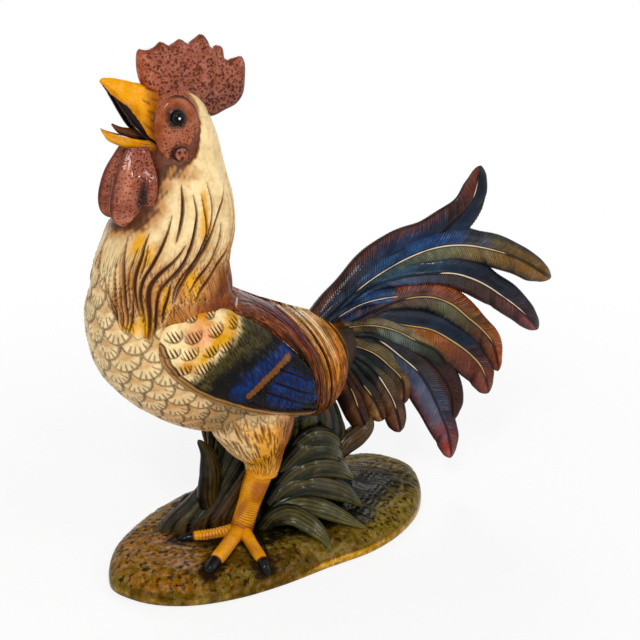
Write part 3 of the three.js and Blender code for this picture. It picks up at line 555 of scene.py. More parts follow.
def glazed(name, base, layers=(), pool=UMBER, mottle=(60.0, 0.3), barbs=None, pits=None, rough=0.12, reach=0.35, bumpy=0.4,
           gloss=GLOSS):
    """A fired glaze: a base colour, brushed layers of (mark, colour, ragged, soft, grain), then dark glaze in what the
    mark "carved" gives, with barbs (spacing, slant, colour, amount, mark) or pits (scale, size, colour) where they are."""
    material = bpy.data.materials.new(name)
    material.use_nodes = True
    tree = material.node_tree
    tree.nodes.clear()
    colour = node(tree, "RGB").outputs[0]
    colour.default_value = base
    for label, layer, ragged, soft, *grain in layers:
        edge = {"Mask": mark(tree, label), "Scale": grain[0] if grain else 120.0, "Ragged": ragged, "Soft": soft}
        mask = grouped(tree, BRUSHED, edge)["Mask"]
        colour = mixed(tree, mask, colour, layer)
    colour = grouped(tree, MOTTLE, {"Colour": colour, "Scale": mottle[0], "Strength": mottle[1]})["Colour"]
    height = None
    if barbs:
        spacing, slant, line_colour, amount, where = barbs
        flow = node(tree, "UVMap", uv_map="flow").outputs[0]
        line = grouped(tree, BARBS, {"Flow": flow, "Spacing": spacing, "Slant": slant})["Line"]
        line = maths(tree, "MULTIPLY", line, mark(tree, where))
        colour = mixed(tree, maths(tree, "MULTIPLY", line, amount), colour, line_colour)
        height = maths(tree, "SUBTRACT", 1.0, line)
    if pits:
        scale, size, floor_colour, where = pits
        dents = grouped(tree, PITS, {"Scale": scale, "Size": size})
        floor = maths(tree, "MULTIPLY", dents["Floor"], mark(tree, where))
        lip = maths(tree, "MULTIPLY", dents["Lip"], mark(tree, where))
        colour = mixed(tree, maths(tree, "MULTIPLY", floor, 0.7), colour, floor_colour)
        colour = mixed(tree, maths(tree, "MULTIPLY", lip, 0.3), colour, glaze(196, 132, 108))
        height = maths(tree, "SUBTRACT", 1.0, floor)
    colour = grouped(tree, POOL, {"Colour": colour, "Pool": pool, "Mask": mark(tree, "carved"), "Reach": reach})["Colour"]
    place = node(tree, "TexCoord").outputs["Object"]
    skin = node(tree, "TexNoise", {"Vector": place, "Scale": 260.0, "Detail": 2.0}).outputs[0]
    shader = node(tree, "BsdfPrincipled", {"Base Color": colour, "Roughness": rough, "IOR": 1.5,
                                           "Specular IOR Level": gloss})
    total = maths(tree, "MULTIPLY", skin, 0.25)
    if height:
        total = maths(tree, "ADD", total, height)
    dent = node(tree, "Bump", {"Height": total, "Strength": bumpy, "Distance": 0.0004})
    tree.links.new(dent.outputs[0], shader.inputs["Normal"])
    tree.links.new(shader.outputs[0], node(tree, "OutputMaterial").inputs["Surface"])
    return material



# Forms that several pieces share

def at(curve, t):
    """Points at the shares t of an evenly spaced curve's length."""
    even = np.linspace(0, 1, len(curve))
    return np.stack([np.interp(t, even, curve[:, k]) for k in range(3)], -1)


def tube(points, radii, count, around, side=(0, 1, 0)):
    """A limb: circles across the smooth curve through points, with radii from rows of [t, radius].

    Returns the rings, the share t of the length and the angle round the limb, the last two as grids."""
    middle = catmull(points, count)
    ahead = unit(np.gradient(middle, axis=0))
    across = unit(np.cross(side, ahead))
    out = np.cross(ahead, across)
    t = np.linspace(0, 1, count + 1)[:, None]
    angle = turns(around)
    radius = along(radii, t[:, 0])[..., None]
    rings = middle[:, None] + radius * (np.cos(angle)[..., None] * across[:, None] + np.sin(angle)[..., None] * out[:, None])
    return rings, t + 0 * angle, angle + 0 * t


def tip_rounding(t):
    """1 along a blade, and the height of a quarter circle over its last 4 per cent."""
    return np.sqrt(np.clip(1 - np.clip((t - 0.96) / 0.04, 0, 0.998) ** 2, 0, 1))


def blade(points, rows, facing, count, around, power=1.36):
    """A feather or leaf: a lens across the smooth curve through points, from rows of [t, left, right, half thickness].

    At the angle w round the lens the place across is the cosine of w, and the height is its sine to the given power.
    Returns the rings, t, the place across from -1 to 1, the distance along and the distance from the rib."""
    curve = catmull(points, 600)
    s = np.linspace(0, 1, count + 1)
    t = 1 - (1 - s) ** 1.25
    middle = at(curve, t)
    ahead = unit(at(curve, np.clip(t + 0.004, 0, 1)) - at(curve, np.clip(t - 0.004, 0, 1)))
    across = unit(np.cross(facing, ahead))
    out = np.cross(ahead, across)
    left, right, thick = (along(rows, t) * tip_rounding(t)[:, None]).T[..., None]
    w = turns(around)
    place = np.cos(w) + 0 * t[:, None]
    height = np.sign(np.sin(w)) * np.abs(np.sin(w)) ** power * thick
    reach = place * np.where(place > 0, left, right)
    rings = middle[:, None] + reach[..., None] * across[:, None] + height[..., None] * out[:, None]
    length = np.linalg.norm(np.diff(curve, axis=0), axis=1).sum()
    return rings, t[:, None] + 0 * w, place, t[:, None] * length + 0 * w, reach


def egg(middle, radii, rows=60, around=90):
    """A closed egg: circles of latitude round the Y axis. Returns its rings."""
    turn = np.linspace(0.02, np.pi - 0.02, rows)[:, None]
    angle = turns(around)
    directions = np.stack([np.sin(turn) * np.cos(angle), -np.cos(turn) + 0 * angle, np.sin(turn) * np.sin(angle)], -1)
    return np.asarray(middle) + np.asarray(radii) * directions


def mirrored(rings):
    """The same rings on the other side of the bird."""
    return rings * np.array([1, -1, 1])


# The body and the cape of neck feathers

DEGREE = 0.75  # millimetres round the neck for each degree of turn
CAPE_EDGE = [
    [0, 244], [15, 238], [28, 222], [38, 207], [60, 201], [72, 212], [80, 224], [100, 222], [130, 222], [181, 220],
]
# Widths of single gouge cuts, and their places: degrees of turn about the neck, and heights
NECK_CUTS = [
    (1.3, [(144, 243), (147, 240), (152, 236), (158, 228)]),
    (1.6, [(182, 268), (180, 258), (184, 246), (181, 236)]),
    (1.5, [(165, 262), (170, 252), (173, 240)]),
    (1.9, [(196, 240), (202, 231), (208, 226), (213, 221), (216, 214), (218, 207)]),
    (1.2, [(207, 252), (209, 242), (211, 236), (213, 228), (217, 220), (220, 210)]),
    (2.6, [(209, 270), (210, 263), (213, 254), (217, 246), (220, 236), (222, 226), (224, 216), (223, 207)]),
    (1.3, [(222, 268), (222, 259), (222, 254), (222, 248), (223, 240), (225, 232), (226, 222)]),
    (3.0, [(228, 273), (227, 265), (228, 258), (228, 251), (228, 243), (229, 235), (231, 227), (234, 219)]),
    (1.2, [(230, 266), (232, 258), (233, 251), (232, 243)]),
    (3.0, [(246, 284), (245, 273), (243, 264), (241, 257), (239, 251), (236, 245), (234, 238), (234, 230), (236, 222),
           (238, 212)]),
    (3.8, [(264, 264), (259, 257), (255, 253), (250, 249), (245, 244), (241, 238), (240, 230), (241, 222), (241, 212),
           (239, 200)]),
    (3.3, [(250, 303), (254, 294), (256, 286), (256, 277), (255, 267)]),
    (3.0, [(267, 296), (272, 285), (272, 276), (271, 268), (269, 260), (266, 253), (261, 247), (255, 242), (249, 235),
           (247, 226)]),
    (2.3, [(277, 296), (280, 287), (283, 278), (284, 270), (281, 262), (277, 254), (272, 249), (265, 242), (260, 234),
           (258, 225)]),
    (2.2, [(285, 303), (290, 291), (290, 283), (288, 275), (285, 266), (281, 257)]),
    (3.1, [(315, 300), (307, 289), (300, 282), (293, 274), (288, 266), (282, 258), (276, 251), (270, 243), (264, 236),
           (259, 226)]),
    (3.4, [(318, 292), (319, 280), (321, 269), (318, 259), (312, 252), (302, 245), (291, 239), (283, 233), (277, 224)]),
    (2.7, [(303, 275), (302, 265), (298, 258), (293, 251), (286, 245), (279, 239), (272, 231)]),
    (1.4, [(267, 262), (268, 253), (265, 249), (258, 242)]),
    (1.8, [(281, 255), (276, 248), (270, 243), (262, 235)]),
    (2.2, [(258, 241), (255, 231), (252, 223), (251, 213)]),
    (2.3, [(251, 242), (247, 230), (246, 220), (245, 209), (242, 200)]),
    (1.9, [(228, 233), (228, 223), (227, 214), (225, 205)]),
    (1.4, [(204, 228), (211, 220), (216, 213), (217, 205)]),
    (1.7, [(217, 237), (218, 226), (220, 217), (221, 207)]),
    (2.6, [(331, 306), (329, 294), (332, 282), (330, 268), (322, 256), (312, 244)]),
    (2.4, [(345, 300), (343, 288), (346, 274), (343, 260), (334, 246), (326, 234)]),
    (2.6, [(358, 308), (356, 296), (359, 282), (356, 268), (349, 254), (342, 240)]),
    (2.0, [(337, 272), (334, 260), (326, 248), (318, 236)]),
    (1.8, [(352, 286), (350, 272), (345, 258), (337, 244)]),
]
# Bare skin round the face and throat, as places along and up
SKIN_OUTLINE = [
    (-103, 345), (-104, 334), (-107, 326), (-111, 320), (-118, 316.5), (-127, 316), (-136, 309), (-142, 298), (-149, 286),
    (-158, 279), (-175, 280), (-190, 330), (-165, 385), (-122, 374), (-110, 365), (-104, 355),
]
SKIN_DARK = glaze(66, 24, 20)
# Turn, height, reach round and reach up of patches of golden glaze on the cape
CAPE_GOLD = [
    (221, 265, 7, 11), (233, 258, 5, 9), (281, 283, 5, 18), (287, 272, 4, 10), (254, 229, 4, 10), (237, 213, 6, 11),
    (276, 237, 8, 12), (226, 209, 9, 6), (342, 262, 9, 16),
]


def body_row(x, lift=0.0):
    """Height of the middle, half height and half width of the body across x."""
    t = (x - BREAST_X) / BODY_LENGTH
    rise, high, wide = np.moveaxis(along(BODY_ROWS, np.clip(t, 0, 1)), -1, 0)
    return BODY_AXIS_Z + rise, high + lift, wide + lift


def breast_flow(points):
    """Distances down the breast and the turn round it, about a line that leans forward as the breast does."""
    place = points - np.array([-128, 0, 236])
    down = place @ np.array([0.42, 0, -0.907])
    ahead = place @ np.array([-0.907, 0, -0.42])
    return down, np.arctan2(-points[..., 1], ahead)


def plumage(points):
    """What the breast and the cape carry on any surface near the neck: the marks, and the height over the surface.

    The cape's edge is a height for each turn from the front. Long gouge cuts run down the cape, each with a raised
    lip, and below its edge lie rows of scale feathers that wrap round the breast.
    """
    x, y, z = np.moveaxis(points, -1, 0)
    t = np.clip((z - NECK_BOTTOM_Z) / (NECK_TOP_Z - NECK_BOTTOM_Z), 0, 1)
    axis = NECK_BOTTOM_X + t * (HEAD_X - NECK_BOTTOM_X) - along(NECK_ROWS, t)[..., 0]
    turn = np.degrees(np.mod(np.arctan2(y, x - axis), 2 * np.pi))
    turn = np.where(turn < 180, 360 - turn, turn)
    cut, side = gouged(turn * DEGREE, z, [(0.82 * w, [(a * DEGREE, h) for a, h in line]) for w, line in NECK_CUTS])
    sway = turn * DEGREE + 5 * np.sin((z - 230) / 19) + 1.2 * ripple(5, turn / 9, z / 15)
    fine = np.maximum(strokes(sway / 135, z, 92, 24, 0.6, 0.2, 37), 0.8 * strokes(sway / 135, z + 9, 61, 33, 0.55, 0.16, 38))
    fine = fine * smooth(276, 242, z + 5 * ripple(16, turn / 8)) * (side > 1.4)
    rounded_strand = 0.6 * ripple(41, sway / 3.2, z / 40) * smooth(300, 262, z)
    wave = 5 * np.abs(np.mod(sway / 7.5, 1) - 0.5) + 2 * ripple(9, turn / 6)
    share = smooth(-1.2, 1.2, z - along(CAPE_EDGE, turn - 180)[..., 0] - wave)
    wash = smooth(7, 1, side) * (0.35 + 0.65 * smooth(285, 235, z))
    low = smooth(262, 236, z + 4 * ripple(15, turn / 9)) * smooth(248, 268, turn)
    gold = np.max([np.exp(-(((turn - a) / ra) ** 2) - (((z - h) / rh) ** 2)) for a, h, ra, rh in CAPE_GOLD], axis=0)
    rust = smooth(285, 318, turn) * smooth(252, 228, z)

    down, swell = breast_flow(points)
    down = down + 1.2 * ripple(33, swell * 4, down / 20)
    edge, ray, height = scales(54 * swell + 1.2 * ripple(31, swell * 3, down / 25), down + 300, 20, 10.2, 1.0)
    scaled = (1 - smooth(2.0, 2.35, np.abs(swell) + 0.1 * ripple(35, down / 9))) * (1 - smooth(118, 136, down)) * (1 - share)
    behind = smooth(-150, -139, x + 3 * ripple(36, x / 6, z / 6)) * smooth(195, 204, z)
    scaled = scaled * (1 - behind)
    nape = np.maximum(strokes(turn / 90 + z / 160, z + x, 44, 13, 0.62, 0.2, 39), strokes(turn / 90, z + x, 31, 18, 0.5, 0.2, 42))
    nape = nape * behind * smooth(242, 222, z) * (side > 1.6)

    lift = share * (0.9 - 0.8 * behind * smooth(250, 225, z) + rounded_strand - 2.1 * cut + 0.7 * bump(side, 1.9, 0.8) - 0.4 * fine)
    lift += scaled * (1.1 * height - 0.5 * ray) - 0.5 * nape
    marks = {
        "carved": np.maximum.reduce([
            share * cut, 0.75 * share * fine, 0.6 * edge * scaled, 0.62 * ray * scaled, 0.8 * nape,
            0.6 * bump(share, 0.45, 0.25) * (1 - behind),
        ]),
        "wash": np.maximum(share * np.maximum(0.8 * wash, low), behind * (1 - share)), "gold": share * gold * 0.95,
        "rust": np.maximum(share * rust, behind * smooth(-130, -108, x) * smooth(238, 216, z)),
        "scaled": scaled * np.clip(0.8 - height, 0, 1) * 0.7, "peach": smooth(30, 110, down) * 0.8 * (1 - share),
    }
    return marks, lift, turn


def make_body():
    """Rings across the body, each as high and wide as its row says, and closer together towards the breast."""
    rows, around = 270, 340
    s = np.linspace(0.004, 0.996, rows)[:, None]
    t = s**1.25
    rise, high, wide = np.moveaxis(along(BODY_ROWS, t[:, 0]), -1, 0)[..., None]
    angle = turns(around)
    x = BREAST_X + t * BODY_LENGTH + 0 * angle
    rings = np.stack([x, np.cos(angle) * wide, BODY_AXIS_Z + rise + np.sin(angle) * high], -1)
    marks, lift, _ = plumage(rings)
    z = rings[..., 2]
    back = smooth(0.42, 0.72, (z - BODY_AXIS_Z - rise) / high) * smooth(-122, -96, x)
    back = np.maximum(back, smooth(-34, -6, x)) * (1 - marks["scaled"])
    slanted = strokes(angle / 2 / np.pi + x / 300, x - high, 84, 15, 0.62, 0.24, 51) * back
    marks["carved"] = np.maximum(marks["carved"], 0.9 * slanted)
    marks["rust"] = np.maximum(marks["rust"], back)
    marks["shade"] = smooth(-135, -105, x) * bump(z, 138, 15) * (1 - back) * 0.9
    # Painted shade: the rear end of the body is darkened so that it reads as shadow between the saddle and the tail.
    marks["dusk"] = smooth(-22, 2, x) * smooth(186, 168, z)
    marks["halo"] = marks["skin"] = 0 * z
    shell("breast_and_back", raised(rings, lift - 0.7 * slanted), marks, None, BREAST_GLAZE, "body")


def make_neck():
    """Level rings round the neck with twelve soft strands, which carry the cape and the top of the breast."""
    rows, around = 210, 400
    t = np.linspace(0, 1, rows)[:, None]
    lean, long, wide = np.moveaxis(along(NECK_ROWS, t[:, 0]), -1, 0)[..., None]
    angle = turns(around)
    strand = 0.8 * (1 - t) ** 0.6 * np.cos(12 * (angle + 0.5 * np.sin(angle) * (1 - t)))
    x = NECK_BOTTOM_X + t * (HEAD_X - NECK_BOTTOM_X) - lean + np.cos(angle) * (long + strand)
    z = NECK_BOTTOM_Z + t * (NECK_TOP_Z - NECK_BOTTOM_Z) + 0 * angle
    rings = np.stack([x, np.sin(angle) * (wide + strand), z], -1)
    marks, lift, turn = plumage(rings)
    inset = within(rings[..., 0], z, SKIN_OUTLINE) + 0.8 * ripple(43, turn / 2, z / 1.6)
    soft = 2.2 + 9 * smooth(319, 306, z)
    marks["halo"] = smooth(-soft, -0.3 * soft, inset + 0.2 * soft * ripple(44, turn / 1.2, z / 1.2))
    marks["carved"] = np.maximum(marks["carved"], 0.55 * smooth(-0.75 * soft, -0.3 * soft, inset + ripple(47, turn, z)))
    marks["wash"] = np.maximum(marks["wash"], 0.8 * smooth(-1.7 * soft, -0.5 * soft, inset))
    marks["skin"] = smooth(-0.6, 0.6, inset)
    marks["shade"] = 0 * z
    marks["dusk"] = 0 * z
    lift = lift - 3 * smooth(214, 206.5, z)
    shell("neck_cape", raised(rings, lift), marks, None, BREAST_GLAZE, "neck_hackle")


BREAST_GLAZE = glazed(
    "breast glaze", glaze(232, 204, 150),
    [("peach", glaze(222, 178, 122), 0.4, 0.5), ("shade", glaze(142, 122, 84), 0.3, 0.5),
     ("wash", glaze(176, 112, 44), 0.35, 0.5), ("scaled", glaze(198, 142, 78), 0.3, 0.5),
     ("gold", glaze(222, 158, 14), 0.35, 0.45), ("rust", glaze(132, 64, 20), 0.4, 0.4),
     # The darkest layer here is painted shade on the rear end of the body.
     ("dusk", glaze(34, 28, 16), 0.3, 0.5), ("halo", glaze(92, 50, 22), 0.5, 0.65, 300.0), ("skin", glaze(140, 74, 48), 0.3, 0.3)],
    pool=glaze(58, 27, 10), mottle=(45.0, 0.4), rough=0.32, pits=(430.0, 0.36, SKIN_DARK, "skin"), gloss=0.13,
)
make_body()
make_neck()


# Wings and saddle feathers: pillows on the flank of the body

def flank(x, z, lift):
    """Places on the left flank over x, z: the body grown by lift."""
    middle, high, wide = body_row(x, lift)
    d = np.clip((z - middle) / high, -1, 1)
    return np.stack([x, -wide * np.sqrt(1 - d * d), z], -1)


def pillow(outline, middle, lift_at, rows, around):
    """A cushion-shaped skin on the flank: rings from its middle out to the outline and back under the flank.

    lift_at gives the height over the body at places x, z."""
    edge = catmull(outline, around, closed=True)
    r = np.concatenate([np.linspace(0.004, 1, rows) ** 0.8, np.linspace(1, 0.01, 10)])[:, None]
    under = (np.arange(rows + 10) >= rows)[:, None]
    x = middle[0] + r * (edge[:, 0] - middle[0])
    z = middle[1] + r * (edge[:, 1] - middle[1])
    lift = np.where(under, -2.5, lift_at(x, z))
    return flank(x, z, lift), x, z, under + 0 * x


WING_THICKNESS = 4.6
FEATHER_STEP = 1.5
WING_OUTLINE = [
    (-147, 205), (-150, 190), (-143, 174), (-122, 155), (-92, 140), (-60, 127), (-24, 118), (-27, 135),
    (-32, 158), (-50, 180), (-72, 199), (-98, 214), (-128, 219),
]
WING_COVERTS = [
    (-143, 203), (-146, 190), (-139, 176), (-120, 159), (-94, 146), (-78, 152), (-65, 164), (-56, 178), (-73, 194),
    (-98, 210), (-127, 215),
]
WING_BOW = [
    (-140, 203), (-143, 191), (-137, 179), (-123, 168), (-108, 172), (-95, 184), (-87, 198), (-100, 207), (-124, 212),
]
SADDLE_THICKNESS = 3.6
STRAND_STEP = 1.2
SADDLE_OUTLINE = [
    (-92, 208), (-74, 202), (-52, 183), (-34, 160), (-29, 136), (-26, 114), (-8, 102), (2, 122), (8, 146), (8, 168),
    (-2, 182), (-20, 190), (-50, 203), (-78, 214),
]
SADDLE_FLOW = [(-104, 214), (-80, 207), (-60, 195), (-44, 178), (-33, 158), (-28, 136), (-25, 114), (-22, 96)]

# Painted borders and feathers of the left wing, as places along and up the flank
WING_YELLOW_EDGE = [(-70, 220), (-83, 211), (-91, 206), (-97, 200), (-110, 191), (-120, 182), (-129, 173), (-138, 163)]
WING_DARK_EDGE = [(-50, 196), (-71, 190), (-88, 188), (-95, 185), (-108, 178), (-115, 169), (-122, 161), (-128, 152)]
WING_BLUE_BAND = [(-53, 179), (-70, 174), (-83, 168), (-97, 157)]
WING_BAR = [(-51, 175), (-66, 169), (-77, 163), (-89, 154)]
WING_PRIMARIES = [(-72, 156), (-62, 164), (-50, 164), (-38, 157), (-31, 147), (-31, 135), (-44, 131), (-58, 135), (-72, 143)]
WING_QUILLS = [
    [(-62, 167), (-47, 159), (-35, 151)],
    [(-66, 158), (-52, 150), (-40, 143), (-30, 139)],
    [(-75, 153), (-57, 143), (-41, 133), (-28, 127)],
    [(-86, 147), (-70, 136), (-50, 128), (-26, 121)],
]
WING_RIM = [(-151, 196), (-148, 184), (-140, 172.5), (-129, 162), (-115, 152.5), (-92, 141), (-62, 128), (-24, 117)]
SCALE_FEATHERS = [
    (-141, 206, 12), (-144, 195, 12), (-126, 217, 10), (-128, 205, 13), (-111, 207, 13), (-132, 194, 13), (-117, 194, 12),
    (-105, 195, 11), (-111, 217, 10), (-95, 208, 10), (-138, 182, 13), (-123, 183, 14),
]
OLIVE_FEATHERS = [(-75, 200, 13), (-78, 192, 14), (-90, 196, 11)]


def beyond(x, z, line):
    """The distance from places x, z to a line, above 0 on its left when it is followed from its start."""
    points = catmull(line, 8 * len(line))
    far, share = to_line(x, z, points)
    steps = np.gradient(points, axis=0)
    nearest = np.clip(np.round(share * (len(points) - 1)).astype(int), 0, len(points) - 1)
    away = (x - points[nearest, 0]) * steps[nearest, 1] - (z - points[nearest, 1]) * steps[nearest, 0]
    return np.where(away < 0, far, -far)


def scale_feather(x, z, place, dashes):
    """One small feather carved on the wing's bow: the lower half of an oval turned by 25 degrees, and dashes 3 mm
    apart that run down to it and swell on the way. Returns what is cut and how far the feather stands up."""
    middle_x, middle_z, size = place
    a = 0.91 * (x - middle_x) + 0.42 * (z - middle_z)
    b = 0.42 * (x - middle_x) - 0.91 * (z - middle_z)
    round_it = np.hypot(a / (0.52 * size), b / (0.42 * size))
    low = smooth(-0.1, 0.12, b / size)
    rim = np.exp(-(((round_it - 1) * size * 0.45 / 0.6) ** 2)) * low
    lane = np.mod(a / 2.6 + 0.5, 1) - 0.5
    grow = 0.13 + 0.12 * smooth(-0.2, 0.3, b / size)
    dash = np.exp(-((lane / grow) ** 2)) * smooth(-0.2, -0.06, b / size + 0.1 * np.sin(a * 2.1)) * (round_it < 0.95)
    dash = dash * smooth(0.42, 0.38, np.abs(a) / size)
    lift = smooth(1.04, 0.92, round_it) * smooth(-0.5, 0.4, b / size)
    return np.maximum(0.55 * rim, dash * dashes), lift


def wing_lift(x, z):
    """The wing, its coverts and its bow, each a rounded step on the one before."""
    return (
        WING_THICKNESS * rounded(within(x, z, WING_OUTLINE), 4)
        + FEATHER_STEP * rounded(within(x, z, WING_COVERTS), 6)
        + FEATHER_STEP * rounded(within(x, z, WING_BOW), 6)
    )


def make_wing(side):
    rings, x, z, under = pillow(WING_OUTLINE, (-88, 172), wing_lift, 112, 480)
    uneven = ripple(61, x / 7, z / 7) + 0.6 * ripple(62, x / 3, z / 3)
    past_yellow = beyond(x, z, WING_YELLOW_EDGE) + 1.8 * uneven
    past_dark = beyond(x, z, WING_DARK_EDGE) + 2.2 * uneven
    cut, lift = np.zeros(x.shape), np.zeros(x.shape)
    for place in SCALE_FEATHERS + OLIVE_FEATHERS:
        carved, height = scale_feather(x, z, place, 1.0 if place in SCALE_FEATHERS else 0.6)
        cut, lift = np.maximum(cut, carved), np.maximum(lift, 0.9 * height)
    blue_far, _ = to_line(x, z, WING_BLUE_BAND)
    bar_far, bar_run = to_line(x, z, WING_BAR)
    bar = smooth(3.3, 2.3, bar_far + 0.3 * uneven) * smooth(0.0, 0.04, bar_run)
    dots = bump(np.mod(bar_run * 12, 1), 0.5, 0.24) * bump(bar_far, 2.5, 0.8)
    primaries = within(x, z, WING_PRIMARIES)
    for line in WING_QUILLS:
        off, run = to_line(x, z, line)
        below = off * (z < np.interp(x, [p[0] for p in line], [p[1] for p in line]))
        cut = np.maximum(cut, bump(off, 0, 0.8) * smooth(1.0, 0.95, run))
        lift = lift + 0.9 * smooth(0, 1.2, below) * smooth(10, 2, below) * (off < 11)
    rim_far, _ = to_line(x, z, WING_RIM)
    rim = smooth(5.0, 3.2, rim_far + 0.5 * uneven)
    night = smooth(-5, 8, past_dark)
    hatch = strokes(x / 150 + z / 330, z, 58, 8, 0.7, 0.22, 65) * smooth(-6, 3, past_yellow) * (1 - rim) * (1 - bar) * (1 - night)
    barb = strokes(x / 190 + z / 420, z, 104, 12, 0.85, 0.28, 67) * night * (1 - rim) * (1 - bar)
    cut = np.maximum.reduce([cut, 0.8 * dots * bar, 0.8 * bump(rim_far, 4.2, 0.7), 0.5 * bump(rim_far, 1.4, 0.6),
                             0.8 * hatch, 0.9 * barb])
    blue = np.maximum(
        smooth(10.5, 3.5, blue_far + 1.4 * uneven) * smooth(-44, -56, x),
        smooth(-3.5, 4, primaries + 0.8 * uneven),
    )
    marks = {
        "carved": cut * (1 - under),
        "gold": np.maximum(bump(past_yellow, -5, 5) * smooth(176, 190, z), 0.75 * bump(np.hypot(x + 124, z - 188), 0, 10)),
        "amber": np.maximum.reduce([bump(np.hypot(x + 118, z - 217), 0, 9), 0.9 * bump(np.hypot(x + 134, z - 184), 0, 6),
                                    0.9 * bump(np.hypot(x + 105, z - 200), 0, 8)]),
        "peach": 0.9 * bump(np.hypot(x + 122, (z - 203) * 1.2), 0, 13),
        "rust": np.maximum(smooth(4, -4, np.abs(z - 222 + 0.3 * (x + 100)) - 3) * smooth(-112, -102, x) * smooth(4, -6, past_yellow),
                           0.9 * smooth(7, 2, np.hypot(x + 27, z - 128))),
        "olive": smooth(-5, 8, past_yellow), "night": night, "blue": blue, "bar": bar, "tan": rim * smooth(-20, -34, x),
    }
    flow = np.stack([0.82 * x - 0.57 * z, 0.57 * x + 0.82 * z + 400], -1)
    rings = raised(rings, (lift - 0.9 * cut) * (1 - under))
    rings = rings if side == "left" else mirrored(rings)
    shell(f"painted_wing_{side}", rings, marks, flow, WING_GLAZE, f"wing_{side}")


def saddle_lift(x, z):
    """The saddle is thickest in its middle and runs out towards the ridge of the back."""
    middle, high, _ = body_row(x)
    ridge = smooth(1.02, 0.75, (z - middle) / high)
    return SADDLE_THICKNESS * rounded(within(x, z, SADDLE_OUTLINE), 7) * (0.15 + 0.85 * ridge)


def make_saddle(side):
    """Strands 2.6 mm wide hang along the edge of the wing: each is rounded, has its own colour, and its lane is the
    distance from that edge."""
    rings, x, z, under = pillow(SADDLE_OUTLINE, (-26, 166), saddle_lift, 100, 420)
    strand, run = to_line(x, z, catmull(SADDLE_FLOW, 60))
    run = run * 150
    strand = strand + 1.8 * ripple(71, run / 22, strand / 9) + 0.8 * ripple(72, run / 8, strand / 4) + 0.02 * run
    lane = strand / 2.6 + 0.4 * np.sin(strand * 0.9) + 0.3 * np.sin(strand * 0.37 + 1)
    number = np.floor(lane).astype(int) % 40
    across = np.abs(np.mod(lane, 1) - 0.5) * 2
    broken = smooth(-0.7, 0.5, ripple(73, run / 13, number * 3.1))
    valley = smooth(0.48, 0.92, across) * broken
    fine = np.maximum(strokes(strand / 60, run, 62, 20, 0.6, 0.22, 75), 0.8 * strokes(strand / 60 + run / 700, run, 47, 13, 0.5, 0.2, 74))
    dash = np.maximum(strokes(strand / 60 + run / 900, run, 44, 8, 0.66, 0.3, 81), strokes(strand / 60, run + 4, 37, 10, 0.6, 0.26, 82))
    fine = np.maximum(fine, dash * smooth(-40, -62, x + 4 * ripple(83, run / 12)))
    own = 18 * shuffled(79, 40)[number] + 5 * ripple(70, run / 9, strand / 3)
    tips = smooth(20, 60, run + own)
    rear = smooth(4, 16, strand)
    gold = (0.35 + 0.65 * shuffled(76, 40)[number]) * bump(run + own, 92, 34) * rear
    pale = (shuffled(77, 40)[number] > 0.4) * bump(run + own, 76, 18) * rear
    plum = (shuffled(78, 40)[number] > 0.7) * bump(run + own, 66, 26)
    cut = np.maximum(valley * (0.7 + 0.3 * tips), 0.95 * fine)
    crest = STRAND_STEP * rounded(1 - across, 1) * (0.4 + 0.6 * tips)
    # Painted shade: the strands are darkened along the wing's edge low down and at the rear by the tail.
    dark = np.maximum(smooth(5, 0, strand + ripple(80, run / 5)) * smooth(40, 70, run), smooth(-2, 6, x) * 0.7)
    marks = {
        "carved": cut * (1 - under), "gold": gold, "pale": pale, "plum": plum * (1 - gold),
        "brown": np.maximum(smooth(132, 112, z) * 0.8, 0.8 * smooth(-0.2, 0.8, ripple(69, run / 20, strand / 6))), "dusk": dark,
    }
    rings = raised(rings, (1.2 * crest - 0.7 * cut) * (1 - under) * smooth(-2, 6, within(x, z, SADDLE_OUTLINE)))
    rings = rings if side == "left" else mirrored(rings)
    shell(f"saddle_feathers_{side}", rings, marks, None, SADDLE_GLAZE, f"saddle_hackle_{side}")


WING_GLAZE = glazed(
    "wing glaze", glaze(236, 208, 150),
    [("peach", glaze(214, 140, 88), 0.4, 0.5), ("amber", glaze(206, 130, 14), 0.4, 0.5), ("gold", glaze(204, 146, 10), 0.3, 0.5),
     ("rust", glaze(122, 56, 22), 0.4, 0.45), ("olive", glaze(60, 54, 18), 0.4, 0.5), ("night", glaze(8, 14, 16), 0.4, 0.5),
     ("blue", glaze(0, 40, 96), 0.6, 0.5), ("bar", glaze(116, 72, 36), 0.3, 0.4), ("tan", glaze(162, 118, 66), 0.4, 0.45)],
    pool=glaze(30, 14, 6), mottle=(70.0, 0.6), gloss=0.08,
)
SADDLE_GLAZE = glazed(
    "saddle glaze", glaze(134, 66, 28),
    [("brown", glaze(90, 46, 18), 0.4, 0.5), ("gold", glaze(204, 128, 34), 0.4, 0.5), ("pale", glaze(228, 194, 142), 0.35, 0.45),
     # The darkest layer is painted shade.
     ("plum", glaze(92, 48, 50), 0.3, 0.45), ("dusk", glaze(40, 26, 16), 0.4, 0.5)],
    pool=glaze(30, 12, 6), mottle=(70.0, 0.6), gloss=0.08,
)
for hand in ("left", "right"):
    make_wing(hand)
    make_saddle(hand)


# The head: skull, comb, beak, tongue, bare face, eyes, ear lobes and wattles

def make_head():
    rings = egg((HEAD_X, 0, HEAD_Z), HEAD_HALF, 70, 110)
    x, y, z = np.moveaxis(rings, -1, 0)
    uneven = ripple(81, x / 3, z / 3)
    inset = within(x, z, SKIN_OUTLINE) + 0.5 * uneven
    skin = smooth(-0.6, 0.8, inset)
    mouth = smooth(-129, -133, x) * smooth(362, 356, z) * smooth(324, 328, z) * smooth(13, 11, np.abs(y))
    marks = {"carved": 0.5 * bump(skin, 0.4, 0.18), "skin": skin, "mouth": mouth,
             "brown": np.maximum(smooth(362, 368, z + 2 * uneven) * 0.6, smooth(-4, -0.5, inset + uneven))}
    shell("skull", rings, marks, None, HEAD_GLAZE, "head")


